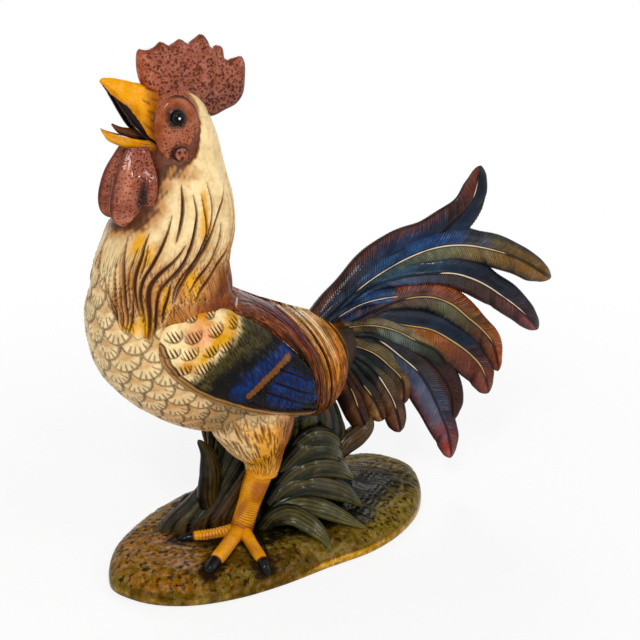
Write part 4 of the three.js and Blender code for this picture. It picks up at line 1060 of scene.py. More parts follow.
def make_comb():
    """A plate inside an outline: rings go from its edge in to a line along its middle, on both sides. Its half
    thickness depends on the place alone: a quarter circle's rise from the edge, and a swelling in each lobe."""
    around, rows = 420, 31
    edge = catmull(COMB_OUTLINE, around, closed=True)
    spine_x = np.clip(edge[:, 0], -12, 38)
    spine = np.stack([spine_x, 34 - 0.004 * (spine_x - 12) ** 2], -1)
    share = np.linspace(0, 0.9, rows) ** 1.4
    share = np.concatenate([share[::-1], share[1:]])[:, None]
    side = np.where(np.arange(2 * rows - 1) < rows, -1, 1)[:, None]
    place = edge + share[..., None] * (spine - edge)
    x, z = place[..., 0], place[..., 1]
    reach = np.maximum(within(x, z, COMB_OUTLINE), 0) * (share > 0)
    lobes = np.sin(x / 12.4 * 2 * np.pi + 1.2) * smooth(34, 50, z)
    half = 0.5 * COMB_THICKNESS * rounded(reach, 5.5) * (0.86 + 0.14 * smooth(58, 20, z))
    flat = smooth(0.86, 0.6, share)
    half = half * (1 + flat * (0.05 * lobes + 0.05 * ripple(85, x / 7, z / 7) + 0.03 * ripple(86, x / 3, z / 3)))
    rings = np.stack([HEAD_X + x, side * half, HEAD_Z + z], -1)
    marks = {"carved": 0 * x, "fire_and_highlight": smooth(-8, -24, x + 0.3 * (z - 40)), "shade": smooth(34, 8, z - 0.2 * x) * 0.75,
             "pitted": smooth(1, 3, reach)}
    shell("comb_blade", rings, marks, None, COMB_GLAZE, "comb")


def make_beak(name, rows, node_name, outward):
    """A half beak, D-shaped across: its outer side is a vault on the widest line, and its inner side is a shallow
    scoop. outward is 1 for the upper half and -1 for the lower one."""
    count, around = 84, 116
    share = np.linspace(0, 1, len(rows))
    table = np.column_stack([share, rows])
    t = np.linspace(0, 1, count)
    up_x, up_z, down_x, down_z, wide = along(table, t).T[..., None]
    angle = turns(around)
    angle = angle - 0.42 * np.sin(2 * angle)
    c, s = np.cos(angle), np.sin(angle)
    outer = s * outward > 0
    scoop = 0.46 * (1 - smooth(0.8, 1, t))[:, None]
    height = outward * np.where(outer, 2 * np.abs(s) ** 0.75 - 1, scoop * np.abs(s) ** 1.5 - 1)
    x = HEAD_X + (up_x + down_x) / 2 + height * (up_x - down_x) / 2
    z = HEAD_Z + (up_z + down_z) / 2 + height * (up_z - down_z) / 2
    rings = np.stack([x + 0 * c, c * np.maximum(wide, 0.4), z], -1)
    horn_x, horn_z = np.transpose(BEAK_RIM)
    inner = smooth(0.5, -0.5, z - HEAD_Z - np.interp(x - HEAD_X, horn_x, horn_z)) * (outward > 0) + 0 * c
    run = t[:, None] * 40
    streak = strokes(angle / 2 / np.pi + 0.001 * run, run, 36, 17, 0.6, 0.2, 91) * smooth(0.6, 0.15, t[:, None]) * outer
    marks = {"carved": 0.55 * streak * (1 - inner), "mouth": np.maximum(~outer * smooth(0.97, 0.88, np.abs(c)) + 0 * run, inner),
             "brown": np.maximum(smooth(0.3, 0.02, t[:, None] + 0.05 * ripple(92, angle * 3, run / 5)),
                                 0.5 * bump(np.abs(c), 0.98, 0.06)) + 0 * c}
    rings = raised(rings, -1.1 * inner * smooth(0.97, 0.85, t[:, None]))
    shell(name, rings, marks, None, BEAK_GLAZE, node_name)


def make_tongue():
    points = np.array([(-14, 0, -10), (-24, 0, -5.5), (-33, 0, -2.6), (-40, 0, 0), (-45.5, 0, 4.5)])
    rings, t, angle = tube(points + np.array([HEAD_X, 0, HEAD_Z]), [[0, 4.2], [0.5, 3.6], [0.8, 2.4], [1, 0.7]], 60, 40)
    middle = bump(np.cos(angle), 0, 0.35) * (np.sin(angle) > 0)
    marks = {"carved": 0.5 * middle * smooth(1, 0.7, t), "dark": smooth(0.75, 0.1, t)}
    shell("tongue_strip", rings, marks, None, TONGUE_GLAZE, "tongue")


def make_face(side):
    """An egg of bare skin with a socket round the eye and a carved line along its rear edge."""
    rings = egg((HEAD_X - 5, -17, HEAD_Z + 0.5), (16.5, 6, 23), 72, 120)
    x, y, z = np.moveaxis(rings, -1, 0)
    outer = smooth(-15, -18, y)
    socket = np.hypot(x + 119, z - 348)
    lift = (-0.8 * bump(socket, 7.4, 1.5) + 0.7 * bump(socket, 10.5, 2.2)) * outer + 0.3 * ripple(95, x / 4, z / 4) * outer
    rim = np.hypot((x + 118) / 16.5, (z - 339.5) / 23)
    lobe = np.hypot(x + 117.4, z - 323)
    carved = np.maximum(0.9 * bump(rim, 0.98, 0.05) * smooth(-128, -116, x), 0.9 * bump(lobe, 6.6, 1.3) * smooth(334, 326, z))
    marks = {
        "carved": carved, "halo": smooth(10.5, 4.2, socket + 0.7 * ripple(96, x / 2, z / 2)),
        "pitted": smooth(351, 339, z) * smooth(-132, -128, x),
        "fire_and_highlight": np.maximum(smooth(-125, -134, x) * 0.9, 0.5 * bump(z, 364, 4)),
    }
    rings = raised(rings, lift)
    rings = rings if side == "left" else mirrored(rings)
    shell(f"bare_face_{side}", rings, marks, None, FACE_GLAZE, f"face_{side}")


def make_eye(side):
    rings = egg((HEAD_X - 6, -22.1, HEAD_Z + 9), (5.2, 4.6, 5.2), 48, 64)
    x, y, z = np.moveaxis(rings, -1, 0)
    # A pale dot in the middle of the pupil is a painted reflection.
    marks = {"carved": 0 * x, "ring": bump(np.hypot(x + 119, z - 348), 4.1, 0.7),
             "painted_catchlight": smooth(1.05, 0.6, np.hypot(x + 119.4, z - 348.3)) * (y < -22)}
    rings = rings if side == "left" else mirrored(rings)
    shell(f"painted_eye_{side}", rings, marks, None, EYE_GLAZE, f"eye_{side}")


LOBE_DOTS = [(-119.6, 324.6), (-115.6, 324.4), (-117.8, 320.6)]


def make_earlobe(side):
    rings = egg((HEAD_X - 4.4, -20.2, HEAD_Z - 16), (6.2, 4.8, 5.9), 48, 64)
    x, y, z = np.moveaxis(rings, -1, 0)
    far = np.hypot((x + 117.4) / 6.2, (z - 323) / 5.9)
    dots = np.max([bump(np.hypot(x - dot_x, z - dot_z), 0, 1.3) for dot_x, dot_z in LOBE_DOTS], axis=0)
    marks = {"carved": np.maximum(0.9 * smooth(0.66, 0.84, far), dots), "halo": 0 * x, "pitted": 1 + 0 * x, "fire_and_highlight": 0 * x}
    rings = rings if side == "left" else mirrored(rings)
    shell(f"ear_lobe_{side}", rings, marks, None, FACE_GLAZE, f"earlobe_{side}")


def make_wattle(side):
    """A hanging flap: level ovals as wide and thick as their row says, with a dimple and a ridge on the outside."""
    rows, around = 100, 100
    t = (0.5 - 0.5 * np.cos(np.linspace(0.12, np.pi, rows)))[:, None]
    wide, thick = np.moveaxis(along(WATTLE_ROWS, t[:, 0]), -1, 0)[..., None]
    angle = turns(around)
    lean = WATTLE_TOP[0] - WATTLE_LEAN * np.sin(t * np.pi / 2)
    spread = 0.55 + 0.45 * np.sin(np.minimum(1, t * 1.6) * np.pi / 2)
    place = np.cos(angle) * wide * WATTLE_WIDTH * np.where(np.cos(angle) > 0, 0.36, 0.5)
    x = lean + place
    y = -WATTLE_SPREAD * spread + np.sin(angle) * thick * WATTLE_THICKNESS * 0.5
    y = y - 0.022 * np.clip(place + 10, 0, 30) ** 2 * smooth(0, 0.4, t)
    z = WATTLE_TOP[1] - t * WATTLE_LENGTH + 0 * angle
    rings = np.stack([x, y, z], -1)
    outer = smooth(0.2, -0.4, np.sin(angle))
    dimple = np.exp(-(((place - 2.5) / 3) ** 2) - ((z - 296) / 10) ** 2) * outer
    ridge = bump(place, -6, 4.5) * bump(z, 309, 18) * outer
    lip = bump(np.abs(np.cos(angle)), 0.88, 0.1) * outer
    lift = 1.2 * ridge + 0.5 * lip - 2.4 * dimple + 0.4 * ripple(99, x / 4, z / 6) * outer
    edge = smooth(0.8, 1.0, np.abs(np.cos(angle))) + 0 * z
    marks = {
        "carved": 0.8 * dimple, "plum": np.maximum(1.1 * dimple, 0.5 * edge), "pitted": smooth(0.98, 0.8, np.abs(np.cos(angle))) + 0 * z,
        # Painted highlight: lighter glaze along the ridge at the front, and a lighter band near the bottom.
        "fire_and_highlight": 0.8 * np.maximum(bump(place, -8, 5) * bump(z, 306, 18), bump(z, 280, 6)),
    }
    rings = raised(rings, lift)
    rings = rings if side == "left" else mirrored(rings)
    shell(f"wattle_flap_{side}", rings, marks, None, WATTLE_GLAZE, f"wattle_{side}")


HEAD_GLAZE = glazed(
    "skull glaze", glaze(230, 202, 150),
    [("brown", glaze(150, 104, 58), 0.6, 0.5), ("skin", glaze(140, 74, 48), 0.3, 0.3), ("mouth", glaze(22, 13, 16), 0.05, 0.1)],
    pool=BROWN, mottle=(110.0, 0.5), pits=(430.0, 0.36, SKIN_DARK, "skin"),
)
COMB_GLAZE = glazed(
    "comb glaze", glaze(122, 56, 33),
    [("fire_and_highlight", glaze(144, 66, 30), 0.5, 0.5), ("shade", glaze(84, 34, 20), 0.5, 0.4)],
    pool=SKIN_DARK, mottle=(180.0, 1.7), pits=(410.0, 0.44, SKIN_DARK, "pitted"), bumpy=1.0,
)
FACE_GLAZE = glazed(
    "face glaze", glaze(146, 76, 44), [("fire_and_highlight", glaze(140, 68, 30), 0.4, 0.5), ("halo", glaze(14, 11, 10), 0.5, 0.5)],
    pool=glaze(46, 16, 10), mottle=(130.0, 0.8), pits=(430.0, 0.38, SKIN_DARK, "pitted"), bumpy=0.8,
)
# Its lighter layer is painted highlight; on the comb and the face the same mark is their own orange.
WATTLE_GLAZE = glazed(
    "wattle glaze", glaze(120, 54, 34), [("fire_and_highlight", glaze(168, 98, 70), 0.4, 0.5), ("plum", glaze(46, 16, 10), 0.5, 0.45)],
    pool=glaze(26, 9, 6), mottle=(140.0, 0.9), pits=(430.0, 0.38, SKIN_DARK, "pitted"), bumpy=0.9,
)
BEAK_GLAZE = glazed(
    "beak glaze", glaze(222, 148, 4),
    [("brown", glaze(156, 84, 6), 0.5, 0.5), ("mouth", glaze(30, 14, 10), 0.05, 0.1)], pool=glaze(90, 42, 4), mottle=(110.0, 0.4), gloss=0.12,
)
TONGUE_GLAZE = glazed(
    "tongue glaze", glaze(92, 50, 24), [("dark", glaze(28, 16, 15), 0.4, 0.5)], pool=glaze(24, 12, 10), mottle=(90.0, 0.5),
)
# The pale layer is a painted reflection on the pupil.
EYE_GLAZE = glazed(
    "eye glaze", glaze(2, 2, 3), [("ring", glaze(30, 26, 20), 0.4, 0.4), ("painted_catchlight", glaze(206, 210, 212), 0.1, 0.2)], pool=INK, mottle=(200.0, 0.1), rough=0.05, bumpy=0.02, gloss=0.1,
)
make_head()
make_comb()
make_beak("beak_top", UPPER_BEAK, "beak_upper", 1)
make_beak("beak_bottom", LOWER_BEAK, "beak_lower", -1)
make_tongue()
for hand in ("left", "right"):
    make_face(hand)
    make_eye(hand)
    make_earlobe(hand)
    make_wattle(hand)


# The grassy mound

MOUND_EDGE = catmull(MOUND_OUTLINE, 560, closed=True)


def mound_height(inset):
    """Height of the mound at the distance inset from its edge: an upright lip, a quarter circle, then a slow rise."""
    shoulder = 0.72 * (MOUND_HEIGHT - MOUND_LIP)
    crown = MOUND_HEIGHT - MOUND_LIP - shoulder
    rise = np.clip(inset / MOUND_CROWN_REACH, 0, 1)
    return MOUND_LIP + shoulder * rounded(inset, MOUND_EDGE_RADIUS) + crown * np.sin(rise * np.pi / 2)


def ground_at(x, y):
    """Height of the mound under places x, y."""
    turn = np.arctan2(y - MOUND_MIDDLE[1], x - MOUND_MIDDLE[0])
    reach = MOUND_EDGE - np.array(MOUND_MIDDLE)
    heading = np.arctan2(reach[:, 1], reach[:, 0])
    order = np.argsort(heading)
    lengths = np.interp(turn, heading[order], np.linalg.norm(reach, axis=1)[order], period=2 * np.pi)
    return mound_height(np.maximum(0, lengths - np.hypot(x - MOUND_MIDDLE[0], y - MOUND_MIDDLE[1])))


def toe_places(toes, back, side):
    """The line of each toe on the ground, from the ankle to the tip of its claw."""
    lines = []
    for heading, long, _ in toes:
        turn = math.radians(heading)
        ankle = (ANKLE_X + back, side * (LEG_SPREAD - 2))
        lines.append([ankle, (ankle[0] - math.cos(turn) * long, ankle[1] + side * math.sin(turn) * long)])
    return lines


def make_mound():
    """The underside spreads from the vent hole to the edge, and the top runs from the edge in to its middle."""
    edge = MOUND_EDGE
    away = edge - np.array(VENT)
    far = np.linalg.norm(away, axis=1)[:, None]
    vent = np.array(VENT) + away / far * VENT_RADIUS
    rings = [np.column_stack([vent, np.full(len(edge), 14.0)]), np.column_stack([vent, np.full(len(edge), 0.8)])]
    for share in (0.004, 0.2, 0.5, 0.8, 0.985):
        rings.append(np.column_stack([vent + share * (edge - vent), np.zeros(len(edge))]))
    rings.append(np.column_stack([edge, np.full(len(edge), 0.8)]))
    reach = edge - np.array(MOUND_MIDDLE)
    length = np.linalg.norm(reach, axis=1)[:, None]
    for share in np.concatenate([np.linspace(0, 0.12, 20), np.linspace(0.13, 0.99, 100)]):
        inward = share * length
        place = np.array(MOUND_MIDDLE) + reach * (1 - share)
        rings.append(np.column_stack([place, mound_height(inward[:, 0])]))
    rings = np.array(rings)
    x, y, z = np.moveaxis(rings, -1, 0)
    inset = np.concatenate([np.zeros((8, len(edge))), np.linalg.norm(rings[8:, :, :2] - edge[None], axis=-1)])
    top = (np.arange(len(rings)) >= 8)[:, None] * smooth(0, 4, inset)
    lumps = 1.0 * ripple(101, x / 20, y / 20) + 0.6 * ripple(102, x / 8, y / 8) + 0.5 * ripple(104, x / 3.6, y / 3.6)
    bent_x, bent_y = x + 3 * ripple(114, x / 6, y / 6), y + 3 * ripple(115, x / 5, y / 5)
    stipple = 0.4 * ripple(103, bent_x / 1.6, bent_y / 1.6) + 0.3 * ripple(106, bent_y / 1.1, bent_x / 1.3)
    stipple = stipple * smooth(1, 5, inset) * smooth(75, 40, inset)
    toes = np.zeros(x.shape)
    for line in toe_places(TOES_LEFT, 0, -1) + toe_places(TOES_RIGHT, STRIDE, 1):
        off, _ = to_line(x, y, line)
        toes = np.maximum(toes, smooth(12, 5, off + 1.6 * ripple(105, x / 5, y / 5)))
    # Painted shade: the mound is darkened round the grass, round the toes and right of the leaves.
    near_grass = smooth(1.35, 0.9, np.hypot((x + 30) / 84, (y - 4) / 50) + 0.12 * ripple(108, x / 9, y / 9))
    shade_right_of_leaves = bump(np.hypot((x - 56) * 0.7, y - 6), 0, 30)
    uneven = ripple(107, x / 14, y / 14)
    patches = ripple(109, x / 7, y / 7, z / 7) + 0.6 * uneven
    marks = {
        "carved": 0.3 * toes * top, "speck": (0.23 + 0.14 * patches) * top,
        "rust": smooth(-84, -140, x + 12 * uneven) * (0.66 + 0.2 * ripple(110, x / 6, y / 6)) * top,
        "shade": np.maximum.reduce([near_grass, toes * 0.8, shade_right_of_leaves]) * top,
        "gold": smooth(6.5, 3.5, z + 1.2 * uneven) * smooth(-1, 2, z) * (0.4 + 0.6 * smooth(-90, -20, x)),
        "line": bump(z, 7.5, 2.0) * 0.6, "pale": smooth(-10, 50, x - 0.4 * y + 8 * uneven) * smooth(70, 20, inset) * 0.9,
        "olive": smooth(-0.4, 0.8, ripple(112, x / 8, y / 8) + 0.4 * ripple(113, x / 3, y / 3)),
    }
    rings = raised(rings, (lumps + stipple) * top * 0.8)
    rings[..., 2] = np.maximum(rings[..., 2], 0)
    shell("mound", rings, marks, None, MOUND_GLAZE, "base")


# Legs

def leg_points(points, hand):
    """Places of a leg from rows of x, y, z and the share of the stride that a foot set back adds."""
    back = 0 if hand == "left" else STRIDE
    sign = -1 if hand == "left" else 1
    return np.array([(x + back * share, sign * y, z) for x, y, z, share in points])


def make_thigh(hand):
    """A tapering limb. Long dashes run down it and draw together towards the outside of the hock."""
    points = leg_points([(-72.2, 22, HIP_Z, 0), (-67.2, LEG_SPREAD, 104, 0.12), (HOCK_X, LEG_SPREAD, 84, 0.3),
                         (HOCK_X - 1, LEG_SPREAD, 70, 0.4)], hand)
    radii = [[0, 37], [0.3, 31.1], [0.5, 25.2], [0.7, 17.4], [0.86, 13.7], [1, 11.8]]
    rings, t, angle = tube(points, radii, 120, 200)
    round_it = angle if hand == "left" else 2 * np.pi - angle
    turn = np.mod(np.degrees(round_it) - 228 + 180, 360) - 180
    lane = turn * (1 + 0.9 * t) / 360 - 0.14 * t + 0.012 * ripple(111, turn / 16, t * 6) + 1
    run = t * 62
    cuts = np.maximum.reduce([
        strokes(lane, run, 34, 24, 0.62, 0.2, 114), 0.9 * strokes(lane + 0.02, run + 7, 46, 17, 0.6, 0.2, 115),
        0.6 * strokes(lane + 0.01, run + 3, 80, 9, 0.5, 0.2, 118),
    ])
    cuts = cuts * smooth(0.14, 0.3, t + 0.1 * smooth(30, 80, turn) + 0.06 * ripple(119, turn / 14, t * 5)) * smooth(0.98, 0.9, t)
    edge, ray, height = scales(turn * 0.5, run + 4, 17, 9.2, 1.0)
    scaled = smooth(0.26, 0.14, t + 0.03 * ripple(116, turn / 20))
    heat = 0.25 * ripple(117, turn / 24, t * 7)
    from_axis = rings - rings.mean(1, keepdims=True)
    rear = (0.89 * from_axis[..., 0] - 0.45 * (1 if hand == "left" else -1) * from_axis[..., 1]) / along(radii, t)[..., 0]
    marks = {
        "carved": np.maximum(0.95 * cuts, 0.5 * np.maximum(edge, ray) * scaled),
        "gold": smooth(0.1, 0.36, t + heat + 0.1 * rear) * smooth(-0.95, -0.35, rear + heat),
        "amber": smooth(0.84, 0.97, t + 0.2 * heat),
        "brown": np.maximum(0.85 * smooth(0.3, 0.8, rear + 0.5 * heat) * smooth(0.98, 0.7, t), 0.5 * smooth(0.3, 0.9, heat * 4) * smooth(0.3, 0.5, t)),
        "shade": smooth(0.34, 0.1, t) * 0.6,
    }
    lift = 0.4 - 4.5 * smooth(0.28, 0.08, t) - 0.9 * cuts + 0.5 * scaled * height + 0.5 * ripple(120, turn / 12, t * 5) * smooth(0.25, 0.5, t)
    shell(f"feathered_thigh_{hand}", raised(rings, lift), marks, None, THIGH_GLAZE, f"thigh_{hand}")


def scutes(run, angle, seed):
    """Scales on a shank or a toe: rows every 2.3 mm that wander, part and fade, as 1 in the gaps between them."""
    place = run / 2.3 + 0.4 * np.cos(angle) + 0.7 * ripple(seed, angle * 1.2, run / 7) + 0.2 * np.sign(np.sin(angle * 2 + 0.7))
    gap = np.exp(-(((np.mod(place, 1) - 0.5) / 0.14) ** 2))
    return gap * smooth(-0.5, 0.9, ripple(seed + 1, angle * 2, run / 5) + 0.3 * np.cos(angle))


def make_shank(hand):
    ankle_z = float(ground_at(np.array(ANKLE_X), np.array(-LEG_SPREAD))) + TOE_RADIUS
    points = leg_points([(HOCK_X, 27.2, HOCK_Z + 4.6, 0.38), (-69.2, 26.6, 62.8, 0.5), (-74.2, 26, 48, 0.72),
                         (ANKLE_X, 25, ankle_z, 1)], hand)
    rings, t, angle = tube(points, [[0, 9.8], [0.25, 9.8], [0.6, 8.5], [1, 8.8]], 190, 90)
    gaps = scutes(t * 60, angle, 121)
    heat = 0.2 * ripple(123, angle * 2, t * 8)
    marks = {
        "carved": gaps * 0.6, "claw": 0 * t,
        "brown": np.maximum.reduce([smooth(0.6, 0.98, t + heat), 0.75 * smooth(0.2, 0.8, ripple(124, angle * 2, t * 6)),
                                    0.8 * bump(np.abs(np.sin(angle)), 1, 0.3) * smooth(-0.3, 0.5, ripple(97, angle, t * 9))]),
    }
    shell(f"scaled_shank_{hand}", raised(rings, 0.3 - 0.5 * gaps), marks, None, LEG_GLAZE, f"shank_{hand}")


def make_toe(hand, number, heading, long, radius):
    """A toe that bends over its joint and ends in a claw behind a notch."""
    back = 0 if hand == "left" else STRIDE
    turn = math.radians(heading)
    s = np.array([-0.04, 0.15, 0.3, 0.45, 0.58, 0.7, 0.8, 0.9, 1])
    x = ANKLE_X + back - math.cos(turn) * s * long
    y = -LEG_SPREAD + 2 - math.sin(turn) * s * long
    z = ground_at(x, y) + radius * (0.75 - 0.6 * s) + 0.6 * np.sin(np.clip(s, 0, 1) * 3 * np.pi) * (s < 0.7)
    points = np.stack([x, y if hand == "left" else -y, z], -1)
    radii = [[0, radius + 1.2], [0.3, radius], [0.55, radius - 0.1], [0.7, radius - 0.3], [0.77, radius - 0.7],
             [0.83, radius - 0.5], [0.94, radius - 1.6], [1, 1.0]]
    rings, t, angle = tube(points, radii, 130, 60, side=(0, 0, 1))
    claw = smooth(0.765, 0.785, t)
    gaps = scutes(t * long, angle, 125 + number) * (1 - claw)
    marks = {
        "carved": np.maximum(gaps * 0.6, 0.9 * bump(t, 0.775, 0.012)), "claw": claw,
        "brown": np.maximum(0.9 * smooth(0.32, 0.02, t), 0.6 * smooth(0.3, 0.9, ripple(128 + number, angle * 2, t * 6))),
    }
    piece = f"toe_{hand}_{number}"
    shell(piece, raised(rings, 0.3 - 0.5 * gaps), marks, None, LEG_GLAZE, f"foot_{hand}")


# Grass: the clump that carries the belly, and single leaves

SUPPORT_ROWS = [
    [6, -146, 42, -18, 46], [22, -136, 34, -18, 38], [32, -128, 30, -18, 30], [40, -118, 26, -17, 25],
    [50, -107, 22, -15, 22], [62, -99, 21, -14, 20], [76, -97, 24, -14, 20], [90, -98, 20, -16, 22],
    [104, -101, 14, -20, 24], [120, -98, 4, -26, 28],
]
LEAF_ROWS = [[0, 0.6, 0.6, 1], [0.35, 1, 1, 1], [0.7, 0.85, 0.85, 0.85], [1, 0.16, 0.16, 0.25]]
# Name, half width, half thickness, and the places that each leaf runs through
LEAVES = [
    ("leaf_curled", 10, 6, [(-92, 2, 22), (-99, -4, 44), (-99, -8, 70), (-102, -10, 88), (-109, -11, 101)]),
    ("leaf_trailing", 9, 8, [(10, -2, 54), (22, -2, 65), (33, -2, 71), (42, 0, 77), (44, 2, 92)]),
    ("leaf_low_left", 8.5, 4, [(-64, -24, 20), (-56, -31, 31), (-46, -40, 36), (-35, -50, 30), (-28, -58, 22), (-28, -73, 17)]),
    ("leaf_second_left", 8.5, 4, [(-60, -22, 22), (-48, -27, 36), (-35, -32, 39), (-19, -38, 34), (-2, -43, 24), (12, -56, 17)]),
    ("leaf_third_left", 11, 4.6, [(-54, -20, 36), (-43, -23, 48), (-27, -27, 53), (-10, -28, 47), (9, -27, 35), (25, -26, 19)]),
    ("leaf_fourth_left", 9.5, 4.6, [(-48, -18, 47), (-39, -21, 57), (-25, -24, 64), (-10, -24, 63), (7, -21, 54), (24, -14, 38)]),
    ("leaf_fifth_left", 10, 4.6, [(-42, -16, 61), (-33, -19, 71), (-22, -22, 79), (-9, -21, 78), (5, -17, 68), (16, -10, 53)]),
    ("leaf_top_left", 8.5, 4.6, [(-33, -14, 73), (-27, -17, 82), (-18, -20, 88), (-8, -19, 86), (5, -15, 77), (14, -9, 62)]),
    ("leaf_low_right", 8.5, 4, [(-46, 30, 22), (-34, 42, 36), (-20, 50, 38), (-4, 58, 28), (8, 66, 17)]),
    ("leaf_second_right", 9.5, 4.6, [(-44, 26, 24), (-34, 34, 48), (-18, 36, 58), (4, 34, 52), (24, 34, 26)]),
    ("leaf_top_right", 9.5, 4.6, [(-42, 18, 40), (-34, 21, 70), (-20, 23, 84), (-4, 22, 78), (14, 16, 56)]),
]


def make_clump():
    """Level ovals that widen towards the mound and the belly, with blades of grass swaying up them."""
    rows, around = 130, 240
    level = np.linspace(6, 120, rows)[:, None]
    x0, x1, y0, y1 = along(SUPPORT_ROWS, level[:, 0]).T[..., None]
    angle = turns(around)
    blades = angle + 0.22 * np.sin(level / 24) + 0.1 * ripple(131, angle * 2, level / 24)
    groove = np.abs(np.sin(blades * 11 + 0.8 * ripple(132, blades * 3, level / 40)))
    fine = strokes(blades / 2 / np.pi, level, 84, 60, 0.85, 0.2, 133, 0.4)
    x = (x0 + x1) / 2 + np.cos(angle) * (x1 - x0) / 2
    y = (y0 + y1) / 2 + np.sin(angle) * (y1 - y0) / 2
    rings = np.stack([x, y, level + 0 * angle], -1)
    tint = ripple(135, blades * 9, level / 50)
    marks = {
        "carved": np.maximum(0.8 * fine, smooth(0.45, 0.1, groove)),
        "olive": smooth(0.1, 0.9, tint) * smooth(126, 90, level), "tip": 0 * x,
        "blue": smooth(-70, -30, x) * smooth(0.4, 1.0, ripple(137, blades * 5, level / 30)),
        "brown": np.maximum(0.8 * smooth(46, 12, level) * smooth(-50, -110, x), smooth(0.1, 0.8, -tint)),
    }
    lift = 1.5 * groove**0.6 - 0.6 * fine - 0.9
    shell("grass_clump", raised(rings, lift), marks, None, GRASS_GLAZE, "support")


def make_leaf(name, wide, thick, points):
    """A broad blade of grass with five uneven furrows along it, and its lower edge darkened with dark glaze as painted
    shade.
    """
    near = -1 if points[2][1] < 0 else 1
    rows = np.array(LEAF_ROWS) * [1, wide, wide, thick]
    rings, t, place, run, reach = blade(points, rows, (0.2, near, 0.7), 100, 48, 0.8)
    wander = place * 2.3 + 0.25 * ripple(138, run / 18, place * 2)
    furrow = bump(np.mod(wander, 1), 0.5, 0.16) * smooth(0.98, 0.86, np.abs(place)) * smooth(1.0, 0.85, t)
    # Painted shade: the lower edge of each leaf is darkened with the dark glaze.
    lower = smooth(0.55, 0.98, place)
    streak = ripple(139, run / 30, place * 6)
    marks = {
        "carved": np.maximum(0.6 * furrow, 0.8 * lower), "olive": smooth(0.1, 0.9, streak + 0.8 * t), "tip": smooth(0.6, 1, t) * (0.1 if name == "leaf_curled" else 0.7) + 0.5 * (name in ("leaf_low_left", "leaf_second_left")) * smooth(0.1, 0.5, t),
        "blue": smooth(0.5, 0.05, t) * smooth(-0.2, 0.8, -streak),
        "brown": np.maximum(0.8 * (name == "leaf_trailing") + 0.4 * (name == "leaf_curled"), 0.7 * smooth(0.2, 0.9, -streak - 0.5 * t)),
    }
    shell(f"grass_{name}", raised(rings, -0.5 * furrow), marks, None, GRASS_GLAZE, name)


MOUND_GLAZE = glazed(
    "mound glaze", glaze(82, 62, 12),
    [("olive", glaze(112, 92, 34), 0.8, 0.4), ("pale", glaze(112, 94, 28), 0.8, 0.4, 200.0),
     ("rust", glaze(138, 90, 24), 1.6, 0.4, 200.0), ("speck", glaze(48, 28, 6), 1.8, 0.3, 240.0),
     ("shade", glaze(16, 14, 4), 0.9, 0.5, 200.0), ("line", glaze(104, 70, 24), 0.5, 0.4),
     ("gold", glaze(196, 146, 40), 0.5, 0.4)],
    pool=glaze(40, 20, 8), mottle=(190.0, 1.4), rough=0.16, bumpy=1.0, gloss=0.03,
)
THIGH_GLAZE = glazed(
    "thigh glaze", glaze(230, 194, 136),
    [("shade", glaze(160, 132, 92), 0.3, 0.5), ("gold", glaze(222, 154, 46), 0.4, 0.5), ("brown", glaze(146, 80, 22), 0.5, 0.5),
     ("amber", glaze(214, 138, 14), 0.4, 0.5)],
    pool=glaze(84, 38, 8), mottle=(70.0, 0.4), gloss=0.12,
)
LEG_GLAZE = glazed(
    "leg glaze", glaze(216, 144, 12), [("brown", glaze(158, 84, 16), 0.6, 0.5), ("claw", glaze(12, 13, 13), 0.1, 0.2)],
    pool=glaze(112, 54, 12), mottle=(120.0, 0.5), gloss=0.13,
)
GRASS_GLAZE = glazed(
    "grass glaze", glaze(32, 33, 16),
    [("olive", glaze(62, 56, 24), 0.9, 0.5), ("brown", glaze(70, 46, 18), 0.9, 0.5), ("blue", glaze(34, 42, 42), 0.7, 0.5),
     ("tip", glaze(84, 78, 38), 0.6, 0.5)],
    pool=glaze(8, 8, 5), mottle=(90.0, 0.9), rough=0.2, bumpy=0.6, gloss=0.14,
)
make_mound()
for hand, toes in (("left", TOES_LEFT), ("right", TOES_RIGHT)):
    make_thigh(hand)
    make_shank(hand)
    for number, toe in enumerate(toes, 1):
        make_toe(hand, number, *toe)
make_clump()
for leaf in LEAVES:
    make_leaf(*leaf)


# Tail feathers

BARB_STEP = 2.2
RIB_CREAM = glaze(232, 208, 176)
RIB_TAN = glaze(196, 160, 100)
TONES = (0.06, 0.28, 0.5, 0.72, 0.93)
